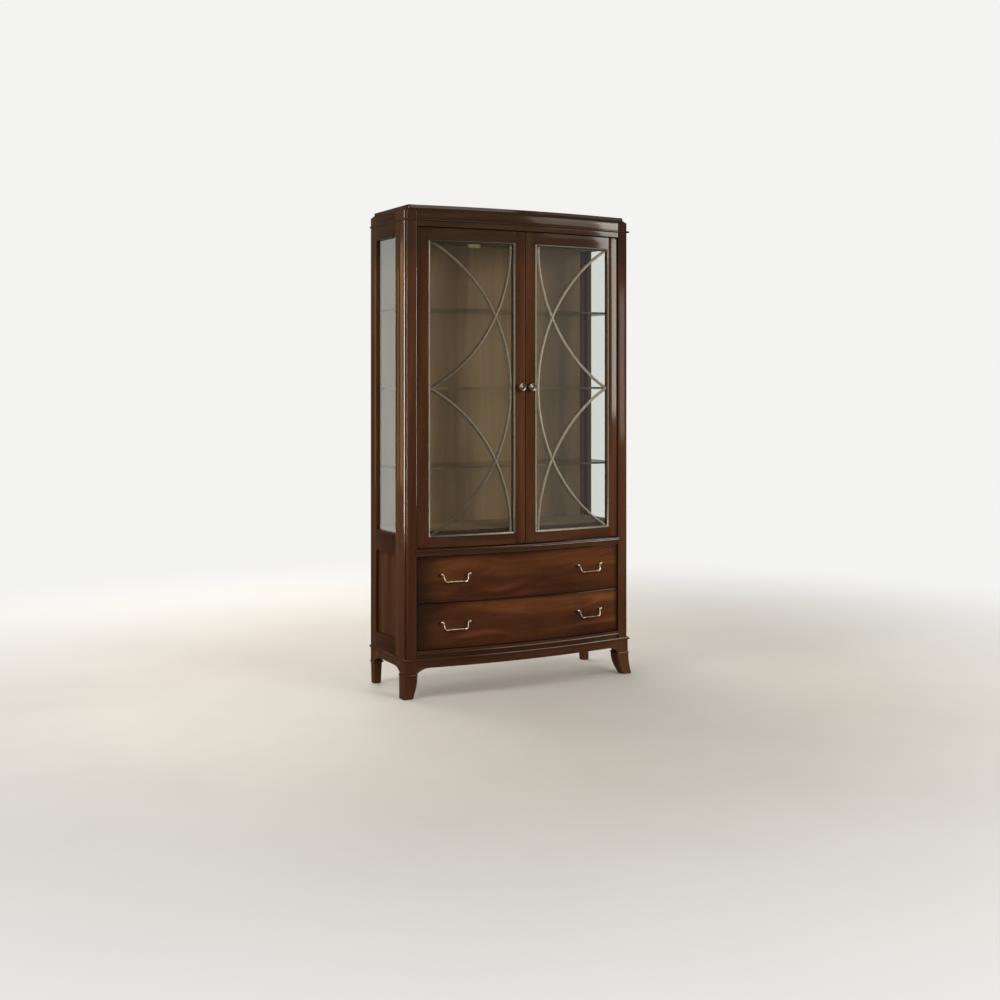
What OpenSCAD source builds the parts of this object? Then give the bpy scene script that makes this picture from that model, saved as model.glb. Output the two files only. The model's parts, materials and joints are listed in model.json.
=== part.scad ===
// Bow-front china cabinet: corner posts on splayed legs, two bowed glass doors
// with curved fretwork over two bowed drawers, glass shelves and lights inside.
// Millimetres, +Z up, front towards -Y, origin on the floor at the centre of the plan.

/* [Case] */
// height from the floor to the top of the cap
total_h = 2083; // [1950:1:2250]
// width across the corner posts
case_w = 1112; // [1000:2:1300]
// depth from the front face of the front posts to the back
case_d = 380; // [350:2:460]
// how far the bowed front stands out at its centre
bow_sag = 41.5; // [25:0.5:60]
// thickness of the frame boards and rails
board = 22; // [20:0.5:26]
// clearance left in glued and seated joints
seat_gap = 0.15; // [0.1:0.05:0.3]

/* [Posts and legs] */
// width of a front post across the front
post_x = 53.5; // [48:0.5:64]
// depth of a front post
post_y = 52; // [46:1:60]
// side of the square back posts
back_post = 40; // [36:1:48]
// width of the quirk at the outer front corner
notch_x = 8.5; // [6:0.5:12]
// depth of the quirk at the outer front corner
notch_y = 12; // [8:0.5:16]
// radius of the bead in the quirk and of the eased corners
ease_r = 3; // [2:0.5:4]
// depth of the block at the top of a front leg
leg_d = 60; // [56:1:70]
// height of the collar bead above the floor
collar_z = 92; // [84:1:110]
// thickness of the collar bead
collar_h = 8; // [6:1:10]
// how far the collar beads stand out from the legs
collar_proud = 5.5; // [4:0.5:6]
// how far the legs stand out from their block under the collar
leg_out = 2.5; // [1:0.5:3]
// width of the foot of a front leg
foot_w = 42; // [34:1:50]
// depth of the foot of a front leg
foot_d = 52; // [40:1:58]
// forward splay of the front feet
splay_y = 12.5; // [6:0.5:24]
// sideways splay of the front feet
splay_x = 12; // [4:1:15]
// side of the square foot of a back leg
back_foot_w = 34; // [28:1:38]

/* [Levels] */
// underside of the aprons above the floor
apron_z = 124; // [116:1:140]
// underside of the base bead above the floor
base_z = 156; // [150:1:170]
// height of the base bead
base_bead_h = 10; // [8:1:14]
// how far the base bead stands out
base_bead_p = 6; // [5.5:0.5:8]
// top of the bottom rail above the floor
bottom_rail_top = 197.5; // [190:0.5:210]
// height of the middle of the gap between the drawers
drawer_split = 394.8; // [380:0.5:410]
// underside of the waist rail above the floor
waist_z = 596; // [580:1:620]
// height of the waist rail
waist_h = 31; // [28:1:36]
// radius of the nosing along the waist rail
waist_nose_r = 4; // [3:0.5:5]
// distance of the middle of the waist nosing in front of the bow line
waist_nose_x = 6.5; // [5:0.5:8]
// how far the waist nosing runs over the front posts
waist_return = 4.5; // [3:0.5:6]
// radius of the nosing along the bottom rail
bottom_nose_r = 4.5; // [3.5:0.5:5.5]
// height from the middle of that nosing to the top of the bottom rail
bottom_nose_drop = 13; // [10:0.5:16]
// top of the display deck above the floor
deck_top = 698; // [690:1:720]
// depth from the cap top down to the underside of the cornice bead
cornice_h = 68; // [62:1:80]
// height of the cornice bead
cornice_bead_h = 8; // [7:0.5:9]
// how far the cornice bead stands out
cornice_bead_p = 5; // [4.5:0.5:7]
// depth that the cornice bead is let into its band
bead_let_in = 3; // [2:0.5:5]
// thickness of the cap with its sloping edge
cap_h = 26; // [22:1:30]
// height of the sloping edge of the cap
cap_slope_h = 12; // [9:0.5:16]
// inset of the flat top of the cap from the sides
cap_side_set = 18; // [14:1:24]
// inset of the flat top of the cap from the bowed front
cap_front_set = 10; // [6:1:14]
// width of the ledge between the sloping edge and the flat top
cap_ledge = 2; // [1:0.5:4]
// radius of the cap corners
cap_corner_r = 12; // [8:1:16]
// height of the rail above the doors
top_rail_h = 23.5; // [20:0.5:30]
// radius of the rounded arches at the ends of the aprons
arch_r = 80; // [50:1:90]

/* [Boards inside] */
// thickness of the back panels
back_panel_t = 6; // [5:0.5:8]
// distance of the back panels behind the front of the back posts
back_in = 12; // [8:0.5:20]
// thickness of the ceiling board
ceiling_t = 18; // [16:1:22]
// thickness of the display deck
deck_t = 22; // [18:1:26]
// thickness of the case bottom
bottom_t = 18; // [16:1:22]

/* [Side frames] */
// width of the front stile beside the front post
side_stile = 52; // [44:1:60]
// width of the back stile beside the back post
back_stile = 24; // [20:1:40]
// underside of the side middle rail above the floor
side_mid_z = 596; // [580:1:620]
// height of the side middle rail
side_mid_h = 90; // [80:1:100]
// top of the side bottom rail above the floor
side_low_top = 234; // [224:1:244]
// top of the side glass below the cap top
side_glass_drop = 130; // [120:1:150]
// thickness of the frame in front of the side glass
side_lip = 10; // [8:0.5:12]
// width of the rebate round the side glass and the side panel
rebate = 8; // [6:0.5:10]
// thickness of the glass panes
glass_t = 4; // [3:0.5:5]
// thickness of the wood panels in the sides
panel_t = 8; // [6:0.5:9]

/* [Doors] */
// gap round the doors and drawer fronts
front_gap = 3; // [2:0.5:4]
// gap above and below the doors, where the pivot hinges lie
pivot_gap = 3.5; // [3:0.5:5]
// how far the doors and drawers stand back from the posts
front_recess = 6; // [4:0.5:8]
// width of the door stiles
stile_w = 49; // [44:0.5:54]
// height of the door top rail
door_top_w = 52; // [46:1:60]
// height of the door bottom rail
door_low_w = 44; // [40:1:50]
// width of the metal bead round the door glass
bead_w = 9.5; // [7:0.5:11]
// how far the bead stands out from the door face
bead_proud = 1.5; // [1:0.5:2.5]
// depth from the door face to the glass
glass_depth = 12; // [10:0.5:13]
// radius of the door knobs
knob_r = 18.5; // [15:0.5:21]
// how far the door knobs stand out
knob_l = 27; // [22:1:32]
// radius of the rose under a knob
knob_rose_r = 11; // [9:0.5:13]
// radius of the neck of a knob
knob_neck_r = 6; // [4.5:0.5:7]
// radius of the boss on the face of a knob
knob_boss_r = 7; // [5:0.5:8]
// height of the door knobs above the floor
knob_z = 1309.5; // [1250:0.5:1360]

/* [Fretwork] */
// width of the fretwork bars
fret_w = 13; // [10:0.5:16]
// thickness of the fretwork bars
fret_t = 6.5; // [5:0.5:8]
// radius of the fretwork arcs along the middle of the bar
fret_r = 712; // [690:1:760]
// distance from the glass edge to where the arcs run upright
fret_inset = 10; // [8:0.5:16]

/* [Pivot hinges] */
// how far the hinge pin stands in from the post
pivot_in = 5.5; // [5:0.5:7]
// depth of the hinge pin behind the front of the post
pivot_y = 2; // [1:0.5:3]
// radius of the hinge pins
pivot_r = 2; // [1.5:0.25:2.5]
// radial clearance of the hinge pins
pivot_fit = 0.1; // [0.05:0.01:0.1]
// thickness of the hinge plates
plate_t = 1.4; // [1:0.1:1.5]
// length of the hinge plates
plate_l = 46; // [36:1:54]
// width of the hinge plates
plate_w = 10; // [8:1:12]

/* [Drawers] */
// thickness of the drawer fronts
drawer_front_t = 20; // [18:1:24]
// thickness of the drawer sides and backs
drawer_side_t = 12; // [10:1:14]
// thickness of the drawer bottoms
drawer_bottom_t = 6; // [5:0.5:8]
// height of the drawer bottom above the underside of the sides
drawer_bottom_up = 8; // [6:1:12]
// height of the drawer back below the top of the sides
drawer_back_drop = 6; // [0:1:12]
// distance of the drawer box from the front posts
drawer_side_in = 14.5; // [12:0.5:18]
// height of the drawer box below the top of its front
drawer_box_drop = 13; // [10:1:20]
// height of the drawer box above the bottom of its front
drawer_box_lift = 5.7; // [5:0.1:8]
// running clearance between drawer and runner
run_gap = 0.3; // [0.3:0.1:0.8]
// thickness of a runner below the drawer
runner_t = 11; // [8:1:12]
// how far a runner reaches in past the drawer side
runner_in = 6; // [3:1:10]
// height of the guide beside a drawer
guide_h = 12; // [8:1:20]

/* [Pulls] */
// distance of the pulls from the centre of the case
pull_x = 332; // [300:1:360]
// distance between the two posts of a pull
pull_cc = 127; // [110:1:140]
// height of the upper pulls above the floor
pull_high_z = 515.4; // [505:0.5:530]
// height of the lower pulls above the floor
pull_low_z = 312.2; // [300:0.5:325]
// distance of the bail pivot from the drawer face
pull_out = 14; // [12:1:18]
// radius of the foot of a pull post
pull_foot_r = 7; // [6:0.5:9]
// radius of the neck of a pull post
pull_neck_r = 3.6; // [3:0.1:4.5]
// radius of the ball on a pull post
ball_r = 5.5; // [5:0.5:6.5]
// radius of the bail pivots
bail_pin_r = 1.8; // [1.5:0.1:2.2]
// clearance between the bail and its posts
bail_fit = 0.3; // [0.3:0.05:0.5]
// radius of the bail legs
bail_r = 2.8; // [2.2:0.1:3.4]
// length of the thick grip of a bail
grip_l = 77; // [60:1:84]
// radius of the grip of a bail
grip_r = 4.6; // [3.6:0.1:5]
// drop of the grip below the bail pivot
bail_drop = 31; // [26:1:36]
// how far the grip hangs in front of the bail pivot
bail_reach = 8; // [4:0.5:10]

/* [Shelves and lights] */
// thickness of the glass shelves
shelf_t = 8; // [6:0.5:10]
// underside of the lowest shelf above the floor
shelf_z = 959.2; // [930:0.5:990]
// distance from one shelf to the next
shelf_step = 342.2; // [320:0.5:352]
// distance between the shelf ends and the side frames
shelf_end_gap = 8; // [6:1:12]
// radius of the shelf pins
shelf_pin_r = 2.5; // [2:0.25:3]
// length of a shelf pin under the shelf
shelf_bearing = 10; // [6:1:14]
// depth of a shelf pin in its hole
shelf_pin_in = 7; // [5:1:9]
// distance of the lights from the centre of the case
light_x = 150; // [130:1:200]
// distance of the lights behind the front of the posts
light_y = 165; // [140:1:200]
// radius of the light housings
light_r = 34; // [28:1:40]
// height of the light housings
light_h = 12; // [10:1:16]
// radius of the light lenses
lens_r = 28; // [22:1:34]
// height of the light lenses below their housings
lens_h = 14; // [10:1:16]
// radius of the cable hole in the back
cable_r = 25; // [20:1:30]
// distance of the cable hole from the side
cable_in = 150; // [90:1:300]
// height of the cable hole above the ceiling board
cable_up = 34; // [32:1:50]

/* [Hidden] */
half_w = case_w / 2;
post_in = half_w - post_x;
bow_r = (post_in * post_in + bow_sag * bow_sag) / (2 * bow_sag);
bow_cy = bow_r - bow_sag;
bow_fn = 720;
eps = 0.01;
slice_t = 0.2;
leg_set = 1;
cap_edge_set = 1;

// levels
leg_top = base_z + base_bead_h / 2;
base_top = base_z + base_bead_h;
cap_z = total_h - cap_h;
cornice_z = total_h - cornice_h;
top_rail_z = cornice_z - top_rail_h;
waist_top = waist_z + waist_h;
door_z0 = waist_top + pivot_gap + seat_gap;
door_z1 = top_rail_z - pivot_gap - seat_gap;

// side frames
side_front = post_y;
side_back = case_d - back_post;
light_y0 = side_front + side_stile;
light_y1 = side_back - back_stile;
side_glass_top = total_h - side_glass_drop;
side_mid_top = side_mid_z + side_mid_h;
side_in = half_w - board;

// back and inside
back_y = case_d - back_post + back_in;
ceiling_z = side_glass_top + 3;
back_split = side_mid_z + side_mid_h / 2;
door_back_r = bow_r - front_recess - board;
inner_front_r = door_back_r - front_gap;
rail_back_r = bow_r - board - 2;

// doors, drawn for the left side
door_r = bow_r - front_recess;
door_x0 = -(post_in - front_gap);
door_x1 = -front_gap / 2;
frame_x0 = door_x0 + stile_w;
frame_x1 = door_x1 - stile_w + 1;
frame_z0 = door_z0 + door_low_w;
frame_z1 = door_z1 - door_top_w;
sight_x0 = frame_x0 + bead_w;
sight_x1 = frame_x1 - bead_w;
sight_z0 = frame_z0 + bead_w;
sight_z1 = frame_z1 - bead_w;
lip_depth = glass_depth + glass_t;
fret_cx = sight_x1 - fret_inset - fret_r;
fret_mid = (sight_z0 + sight_z1) / 2;
pivot_x = -(post_in - pivot_in);
knob_x = (door_x1 + frame_x1) / 2;

// drawers
upper_z0 = drawer_split + front_gap / 2;
upper_z1 = waist_z - front_gap;
lower_z0 = bottom_rail_top + front_gap;
lower_z1 = drawer_split - front_gap / 2;
drawer_back_r = door_r - drawer_front_t - seat_gap;
box_x = post_in - drawer_side_in;
box_back = back_y - 7;
guide_gap = 1;

// pulls
pull_turn = asin(pull_x / door_r);
pull_fall = pull_cc * pull_cc / 8 / door_r;
elbow_x = pull_cc / 2 - ball_r - bail_fit - bail_r;
grip_x = elbow_x - ball_r;
corner_r = 1.5 * bail_r;

// shelves
shelf_front = post_y + 4;
shelf_back = side_back - 2;
shelf_x = side_in - shelf_end_gap;
shelf_pin_y0 = side_front + side_stile / 2;
shelf_pin_y1 = side_back - back_stile / 2;

// the plan runs from the front of the knobs to the back of the posts
knob_base_y = face_y(knob_x, door_r) - 0.1;
mid_y = (case_d + knob_base_y - knob_l) / 2;

mahogany = [0.33, 0.20, 0.12];
mahogany_dark = [0.27, 0.16, 0.10];
crotch = [0.42, 0.25, 0.15];
inside_brown = [0.36, 0.27, 0.19];
pewter = [0.58, 0.53, 0.45];
steel = [0.62, 0.62, 0.60];
clear = [0.62, 0.70, 0.66, 0.35];
plastic_white = [0.92, 0.90, 0.84];

// y of a bowed face of radius r at distance x from the centre line
function face_y(x, r) = bow_cy - sqrt(r * r - x * x);

// puts the case frame, whose y = 0 is the front of the posts, over the origin
module placed() {
    translate([0, -mid_y, 0]) children();
}

// a left piece as drawn, or its mirror image on the right
module on_side(right) {
    mirror([right ? 1 : 0, 0, 0]) children();
}

// box from one corner to the opposite one
module block(from, to) {
    translate(from) cube(to - from);
}

// plan of the bowed wall between two radii and two x values
module bow_plan(r_in, r_out, x0, x1) {
    intersection() {
        translate([0, bow_cy]) difference() {
            circle(r_out, $fn = bow_fn);
            circle(r_in, $fn = bow_fn);
        }
        translate([x0, -2 * bow_sag]) square([x1 - x0, 4 * bow_sag]);
    }
}

// bowed wall
module bow_wall(r_in, r_out, x0, x1, z0, z1) {
    translate([0, 0, z0]) linear_extrude(z1 - z0) bow_plan(r_in, r_out, x0, x1);
}

// everything behind a bowed face of radius r
module behind_bow(r, z0, z1) {
    translate([0, bow_cy, z0]) cylinder(r = r, h = z1 - z0, $fn = bow_fn);
}

// bowed moulding: the children give the section, x outward from the bow line, y up
module bow_sweep() {
    translate([0, bow_cy, 0]) rotate_extrude($fn = bow_fn) translate([bow_r, 0]) children();
}

// half-round section that stands out by p over the height h
module bead_section(p, h) {
    translate([0, -h / 2]) square([p - h / 2, h]);
    intersection() {
        translate([p - h / 2, 0]) circle(h / 2, $fn = 48);
        translate([0, -h]) square([p + h, 2 * h]);
    }
}

// half-round bead running along the left side, outward to -X
module side_bead(p, h, y0, y1) {
    translate([-half_w, y1, 0]) rotate([90, 0, 0]) linear_extrude(y1 - y0)
        mirror([1, 0]) bead_section(p, h);
}

// half-round bead running along the front of the left post, outward to -Y
module post_bead(p, h, x0, x1) {
    translate([x0, 0, 0]) rotate([90, 0, 90]) linear_extrude(x1 - x0)
        mirror([1, 0]) bead_section(p, h);
}

// bead round the left side, its mitred corner and the front of the left post
module wrap_bead(p, h) {
    side_bead(p, h, 0, case_d);
    post_bead(p, h, -half_w, -post_in + 1);
    intersection() {
        side_bead(p, h, -2 * p, eps);
        post_bead(p, h, -half_w - 2 * p, -half_w + eps);
    }
}

module front_post(right) {
    placed() on_side(right) color(mahogany) translate([-half_w, 0, leg_top])
        linear_extrude(cap_z - leg_top) {
            difference() {
                square([post_x, post_y]);
                square([notch_x, notch_y]);
                translate([0, notch_y]) square([ease_r, ease_r]);
                translate([post_x - ease_r, 0]) square([ease_r, ease_r]);
            }
            translate([ease_r, notch_y + ease_r]) circle(ease_r, $fn = 48);
            translate([post_x - ease_r, ease_r]) circle(ease_r, $fn = 48);
            translate([notch_x, ease_r]) circle(ease_r, $fn = 48);
        }
}

module back_post(right) {
    placed() on_side(right) color(mahogany)
        block([-half_w, case_d - back_post, leg_top], [-half_w + back_post, case_d, cap_z]);
}

// collar bead round a leg, rounded on all four sides
module collar(w, d) {
    full_w = w + 2 * collar_proud;
    full_d = d + 2 * collar_proud;
    translate([-collar_proud, -collar_proud, collar_z + collar_h / 2]) intersection() {
        rotate([90, 0, 0]) translate([0, 0, -full_d]) linear_extrude(full_d) collar_section(full_w);
        rotate([90, 0, 90]) linear_extrude(full_w) collar_section(full_d);
    }
}

module collar_section(w) {
    r = collar_h / 2;
    translate([r, -r]) square([w - 2 * r, 2 * r]);
    translate([r, 0]) circle(r, $fn = 32);
    translate([w - r, 0]) circle(r, $fn = 32);
}

// thin eased square used to blend the legs
module leg_slice(x, y, z, w, d) {
    r = ease_r;
    translate([x, y, z]) linear_extrude(slice_t)
        translate([r, r]) offset(r, $fn = 16) square([w - 2 * r, d - 2 * r]);
}

// slice of a front leg, t from 0 under the collar to 1 at the foot
module front_slice(t) {
    top_w = post_x + 2 * leg_out;
    top_d = leg_d + 2 * leg_out;
    bend = t * t;
    x = -half_w - leg_out - (splay_x - leg_out) * bend;
    y = -leg_out - (splay_y - leg_out) * bend;
    w = top_w - (top_w - foot_w) * bend;
    d = top_d - (top_d - foot_d) * bend;
    leg_slice(x, y, (collar_z - slice_t) * (1 - t), w, d);
}

module front_leg(right) {
    steps = [0, 0.25, 0.5, 0.75, 1];
    placed() on_side(right) color(mahogany) {
        block([-half_w, 0, collar_z + collar_h / 2], [-post_in, leg_d, leg_top]);
        translate([-half_w, 0, 0]) collar(post_x, leg_d);
        for (i = [0 : len(steps) - 2]) hull() {
            front_slice(steps[i]);
            front_slice(steps[i + 1]);
        }
    }
}

module back_leg(right) {
    y0 = case_d - back_post;
    side = back_post - leg_set;
    placed() on_side(right) color(mahogany) {
        block([-half_w, y0, collar_z + collar_h / 2], [-half_w + back_post, case_d, leg_top]);
        translate([-half_w, y0, 0]) collar(back_post, back_post - collar_proud);
        hull() {
            leg_slice(-half_w, y0 + leg_set, collar_z - slice_t, side, side);
            leg_slice(-half_w, y0 + leg_set, 0, back_foot_w, back_foot_w);
        }
    }
}

// ring of stops that holds a pane in the left side frame
module stop_ring(z0, z1, pane_t) {
    x0 = -half_w + side_lip + pane_t + seat_gap;
    difference() {
        block([x0, light_y0 - rebate + seat_gap, z0 - rebate + seat_gap],
            [-side_in, light_y1 + rebate - seat_gap, z1 + rebate - seat_gap]);
        block([x0 - 1, light_y0, z0], [-side_in + 1, light_y1, z1]);
    }
}

// space that a pane and its stops take up behind the lip
module pane_rebate(z0, z1) {
    block([-half_w + side_lip, light_y0 - rebate, z0 - rebate],
        [-side_in + 1, light_y1 + rebate, z1 + rebate]);
}

// puts its children at the bottom of each shelf pin hole on the left
module at_shelf_pins() {
    for (i = [0 : 2], y = [shelf_pin_y0, shelf_pin_y1])
        translate([-side_in - shelf_pin_in, y, shelf_z + i * shelf_step - shelf_pin_r]) children();
}

module side_frame(right) {
    rails = [[leg_top, side_low_top], [side_mid_z, side_mid_top], [side_glass_top, cap_z]];
    placed() on_side(right) color(mahogany) {
        difference() {
            union() {
                block([-half_w, side_front, leg_top], [-side_in, light_y0, cap_z]);
                block([-half_w, light_y1, leg_top], [-side_in, side_back, cap_z]);
                for (z = rails) block([-half_w, light_y0 + seat_gap, z[0]],
                    [-side_in, light_y1 - seat_gap, z[1]]);
            }
            pane_rebate(side_low_top, side_mid_z);
            pane_rebate(side_mid_top, side_glass_top);
            at_shelf_pins() rotate([0, 90, 0])
                cylinder(r = shelf_pin_r + seat_gap, h = shelf_pin_in + 1, $fn = 32);
        }
        stop_ring(side_low_top, side_mid_z, panel_t);
        stop_ring(side_mid_top, side_glass_top, glass_t);
    }
}

module side_pane(z0, z1, pane_t) {
    reach = rebate - seat_gap;
    block([-half_w + side_lip, light_y0 - reach, z0 - reach],
        [-half_w + side_lip + pane_t, light_y1 + reach, z1 + reach]);
}

module side_glass(right) {
    placed() on_side(right) color(clear) side_pane(side_mid_top, side_glass_top, glass_t);
}

module side_panel(right) {
    placed() on_side(right) color(mahogany_dark) side_pane(side_low_top, side_mid_z, panel_t);
}

// plan of the cap, set in from the posts at the sides and from the bow in front
module cap_plan(side_set, front_set) {
    r = cap_corner_r;
    w = half_w - side_set;
    difference() {
        translate([-w, front_set]) square([2 * w, case_d - front_set]);
        for (s = [-1, 1]) translate([s * (w - r / 2) - r / 2, front_set]) square([r, r]);
    }
    for (s = [-1, 1]) translate([s * (w - r), front_set + r]) circle(r, $fn = 48);
    intersection() {
        translate([0, bow_cy]) circle(bow_r - front_set, $fn = bow_fn);
        translate([-post_in, -2 * bow_sag]) square([2 * post_in, 4 * bow_sag]);
    }
}

module top_cap() {
    lip = 0.5;
    flat_z = cap_z + cap_slope_h - lip;
    placed() color(mahogany) {
        hull() {
            translate([0, 0, cap_z]) linear_extrude(lip) cap_plan(cap_edge_set, cap_edge_set);
            translate([0, 0, flat_z]) linear_extrude(lip)
                cap_plan(cap_side_set - 2 * cap_ledge, cap_front_set - cap_ledge);
        }
        translate([0, 0, flat_z]) linear_extrude(total_h - flat_z) cap_plan(cap_side_set, cap_front_set);
    }
}

module cornice_band() {
    band_z = cornice_z + cornice_bead_h;
    placed() color(mahogany) {
        bow_wall(rail_back_r, bow_r, -post_in, post_in, band_z, cap_z);
        bow_wall(rail_back_r, bow_r - bead_let_in, -post_in, post_in, cornice_z, band_z + eps);
    }
}

// bead over the front posts and along both sides, with a bowed run between them
module cased_bead(p, h, back_r, z) {
    translate([0, 0, z + h / 2]) {
        intersection() {
            bow_sweep() {
                bead_section(p, h);
                translate([back_r - bow_r, -h / 2]) square([bow_r - back_r + eps, h]);
            }
            translate([-post_in, -2 * bow_sag, -h]) cube([2 * post_in, 4 * bow_sag, 2 * h]);
        }
        wrap_bead(p, h);
        mirror([1, 0, 0]) wrap_bead(p, h);
    }
}

module cornice_bead() {
    placed() color(mahogany)
        cased_bead(cornice_bead_p, cornice_bead_h, bow_r - bead_let_in, cornice_z);
}

module base_bead() {
    placed() color(mahogany) cased_bead(base_bead_p, base_bead_h, rail_back_r, base_z);
}

module top_rail() {
    placed() color(mahogany) bow_wall(rail_back_r, bow_r, -post_in, post_in, top_rail_z, cornice_z);
}

// horizontal board that fills the case between the posts, sides and back panel
module inside_board(front_r, z0, z1) {
    difference() {
        intersection() {
            block([-side_in, -2 * bow_sag, z0], [side_in, back_y, z1]);
            behind_bow(front_r, z0 - 1, z1 + 1);
        }
        for (s = [-1, 1]) {
            translate([s * (post_in + post_x / 2) - post_x / 2, -2 * bow_sag, z0 - 1])
                cube([post_x, 2 * bow_sag + post_y, z1 - z0 + 2]);
            translate([s * (half_w - back_post / 2) - back_post / 2, case_d - back_post, z0 - 1])
                cube([back_post, back_post, z1 - z0 + 2]);
        }
    }
}

module ceiling_panel() {
    placed() color(inside_brown) inside_board(inner_front_r, ceiling_z, ceiling_z + ceiling_t);
}

module display_deck() {
    placed() color(inside_brown) inside_board(inner_front_r, deck_top - deck_t, deck_top);
}

module case_bottom() {
    placed() color(inside_brown) inside_board(rail_back_r, base_top, base_top + bottom_t);
}

module back_sheet(z0, z1) {
    x1 = half_w - back_post;
    block([-x1, back_y, z0], [x1, back_y + back_panel_t, z1]);
}

module back_panel_upper() {
    placed() color(inside_brown) difference() {
        back_sheet(back_split, cap_z);
        translate([side_in - cable_in, back_y - 1, ceiling_z + ceiling_t + cable_up])
            rotate([-90, 0, 0]) cylinder(r = cable_r, h = back_panel_t + 2, $fn = 64);
    }
}

module back_panel_lower() {
    placed() color(inside_brown) back_sheet(leg_top, back_split - seat_gap);
}

// bead and cove over a flat rail
module waist_section() {
    face = 2;
    cove_r = 9;
    nose_z = waist_top - 1 - 2 * waist_nose_r;
    back = rail_back_r - bow_r;
    translate([back, waist_z]) square([face - back, nose_z - waist_z]);
    translate([back, waist_z]) square([-back, waist_h]);
    translate([back, nose_z]) square([waist_nose_x - back, 2 * waist_nose_r]);
    translate([waist_nose_x, nose_z + waist_nose_r]) circle(waist_nose_r, $fn = 32);
    difference() {
        translate([face - eps, nose_z - cove_r - 1]) square([cove_r - 1, cove_r + 1 + eps]);
        translate([face + cove_r, nose_z - cove_r - 1]) circle(cove_r, $fn = 48);
    }
}

module waist_rail() {
    reach = post_in + waist_return;
    placed() color(mahogany) intersection() {
        bow_sweep() waist_section();
        union() {
            block([-post_in, -2 * bow_sag, waist_z - 1], [post_in, 2 * bow_sag, waist_top + 1]);
            block([-reach, -2 * bow_sag, waist_z - 1], [reach, 0, waist_top + 1]);
        }
    }
}

// nosing on a stepped fascia
module bottom_rail_section() {
    step_in = 9;
    face_in = 2;
    nose = bottom_nose_r;
    nose_z = bottom_rail_top - bottom_nose_drop;
    back = rail_back_r - bow_r;
    translate([back, base_top]) square([-step_in - back, bottom_rail_top - base_top]);
    translate([back, nose_z - nose]) square([-face_in - back, bottom_rail_top - nose_z + nose]);
    translate([-face_in - eps, nose_z - nose]) square([face_in + eps, 2 * nose]);
    translate([0, nose_z]) circle(nose, $fn = 32);
}

module bottom_rail() {
    placed() color(mahogany) intersection() {
        bow_sweep() bottom_rail_section();
        block([-post_in, -2 * bow_sag, base_top - 1], [post_in, 2 * bow_sag, bottom_rail_top + 1]);
    }
}

// upright outline of an apron between two legs, with a rounded bracket at each end
module apron_outline(length, top_z) {
    drop = apron_z - collar_z - collar_h;
    run = sqrt(arch_r * arch_r - (arch_r - drop) * (arch_r - drop));
    difference() {
        translate([0, collar_z + collar_h]) square([length, top_z - collar_z - collar_h]);
        translate([run, 0]) square([length - 2 * run, apron_z]);
        translate([run, apron_z - arch_r]) circle(arch_r, $fn = 96);
        translate([length - run, apron_z - arch_r]) circle(arch_r, $fn = 96);
    }
}

module front_apron() {
    placed() color(mahogany) intersection() {
        bow_wall(rail_back_r, bow_r - 1, -post_in, post_in, collar_z, base_z);
        translate([-post_in, 2 * bow_sag, 0]) rotate([90, 0, 0]) linear_extrude(4 * bow_sag)
            apron_outline(2 * post_in, base_z);
    }
}

module side_apron() {
    y0 = leg_d;
    y1 = case_d - back_post;
    translate([-half_w + 1, y0, 0]) rotate([90, 0, 90]) linear_extrude(board - 2)
        apron_outline(y1 - y0, leg_top);
}

module side_and_back_aprons() {
    x1 = half_w - back_post;
    placed() color(mahogany) {
        side_apron();
        mirror([1, 0, 0]) side_apron();
        translate([-x1, case_d - 4, 0]) rotate([90, 0, 0]) linear_extrude(board - 2)
            apron_outline(2 * x1, base_z);
    }
}

module shelf(i) {
    z = shelf_z + i * shelf_step;
    placed() color(clear) block([-shelf_x, shelf_front, z], [shelf_x, shelf_back, z + shelf_t]);
}

module shelf_pins() {
    reach = shelf_pin_in + shelf_end_gap + shelf_bearing;
    placed() color(steel) for (s = [0, 1]) mirror([s, 0, 0]) at_shelf_pins()
        translate([seat_gap, 0, 0]) rotate([0, 90, 0]) cylinder(r = shelf_pin_r, h = reach, $fn = 32);
}

// round body of radius r and height h whose lower edge is rounded
module puck(r, h, edge_r) {
    rotate_extrude($fn = 64) {
        square([r - edge_r, h]);
        intersection() {
            translate([r - edge_r, edge_r]) circle(edge_r, $fn = 48);
            square([r, h]);
        }
        translate([0, edge_r]) square([r, h - edge_r]);
    }
}

module light_housings() {
    placed() color(plastic_white) for (s = [-1, 1])
        translate([s * light_x, light_y, ceiling_z - light_h]) puck(light_r, light_h, ease_r);
}

module light_lenses() {
    placed() color(plastic_white) for (s = [-1, 1])
        translate([s * light_x, light_y, ceiling_z - light_h - lens_h])
            puck(lens_r, lens_h, 2 * ease_r);
}

// door stile with the lip that backs the glass
module door_stile(right, x0, x1, lip_x0, lip_x1) {
    placed() on_side(right) color(mahogany) {
        bow_wall(door_back_r, door_r, x0, x1, door_z0, door_z1);
        bow_wall(door_back_r, door_r - lip_depth, lip_x0, lip_x1, door_z0, door_z1);
    }
}

module hinge_stile(right) {
    door_stile(right, door_x0, frame_x0, door_x0, sight_x0);
}

module lock_stile(right) {
    door_stile(right, frame_x1, door_x1, sight_x1, door_x1);
}

module door_rails(right) {
    lip_r = door_r - lip_depth;
    placed() on_side(right) color(mahogany) {
        bow_wall(lip_r, door_r, frame_x0, frame_x1, frame_z1, door_z1);
        bow_wall(door_back_r, lip_r + eps, sight_x0, sight_x1, sight_z1, door_z1);
        bow_wall(lip_r, door_r, frame_x0, frame_x1, door_z0, frame_z0);
        bow_wall(door_back_r, lip_r + eps, sight_x0, sight_x1, door_z0, sight_z0);
    }
}

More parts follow.
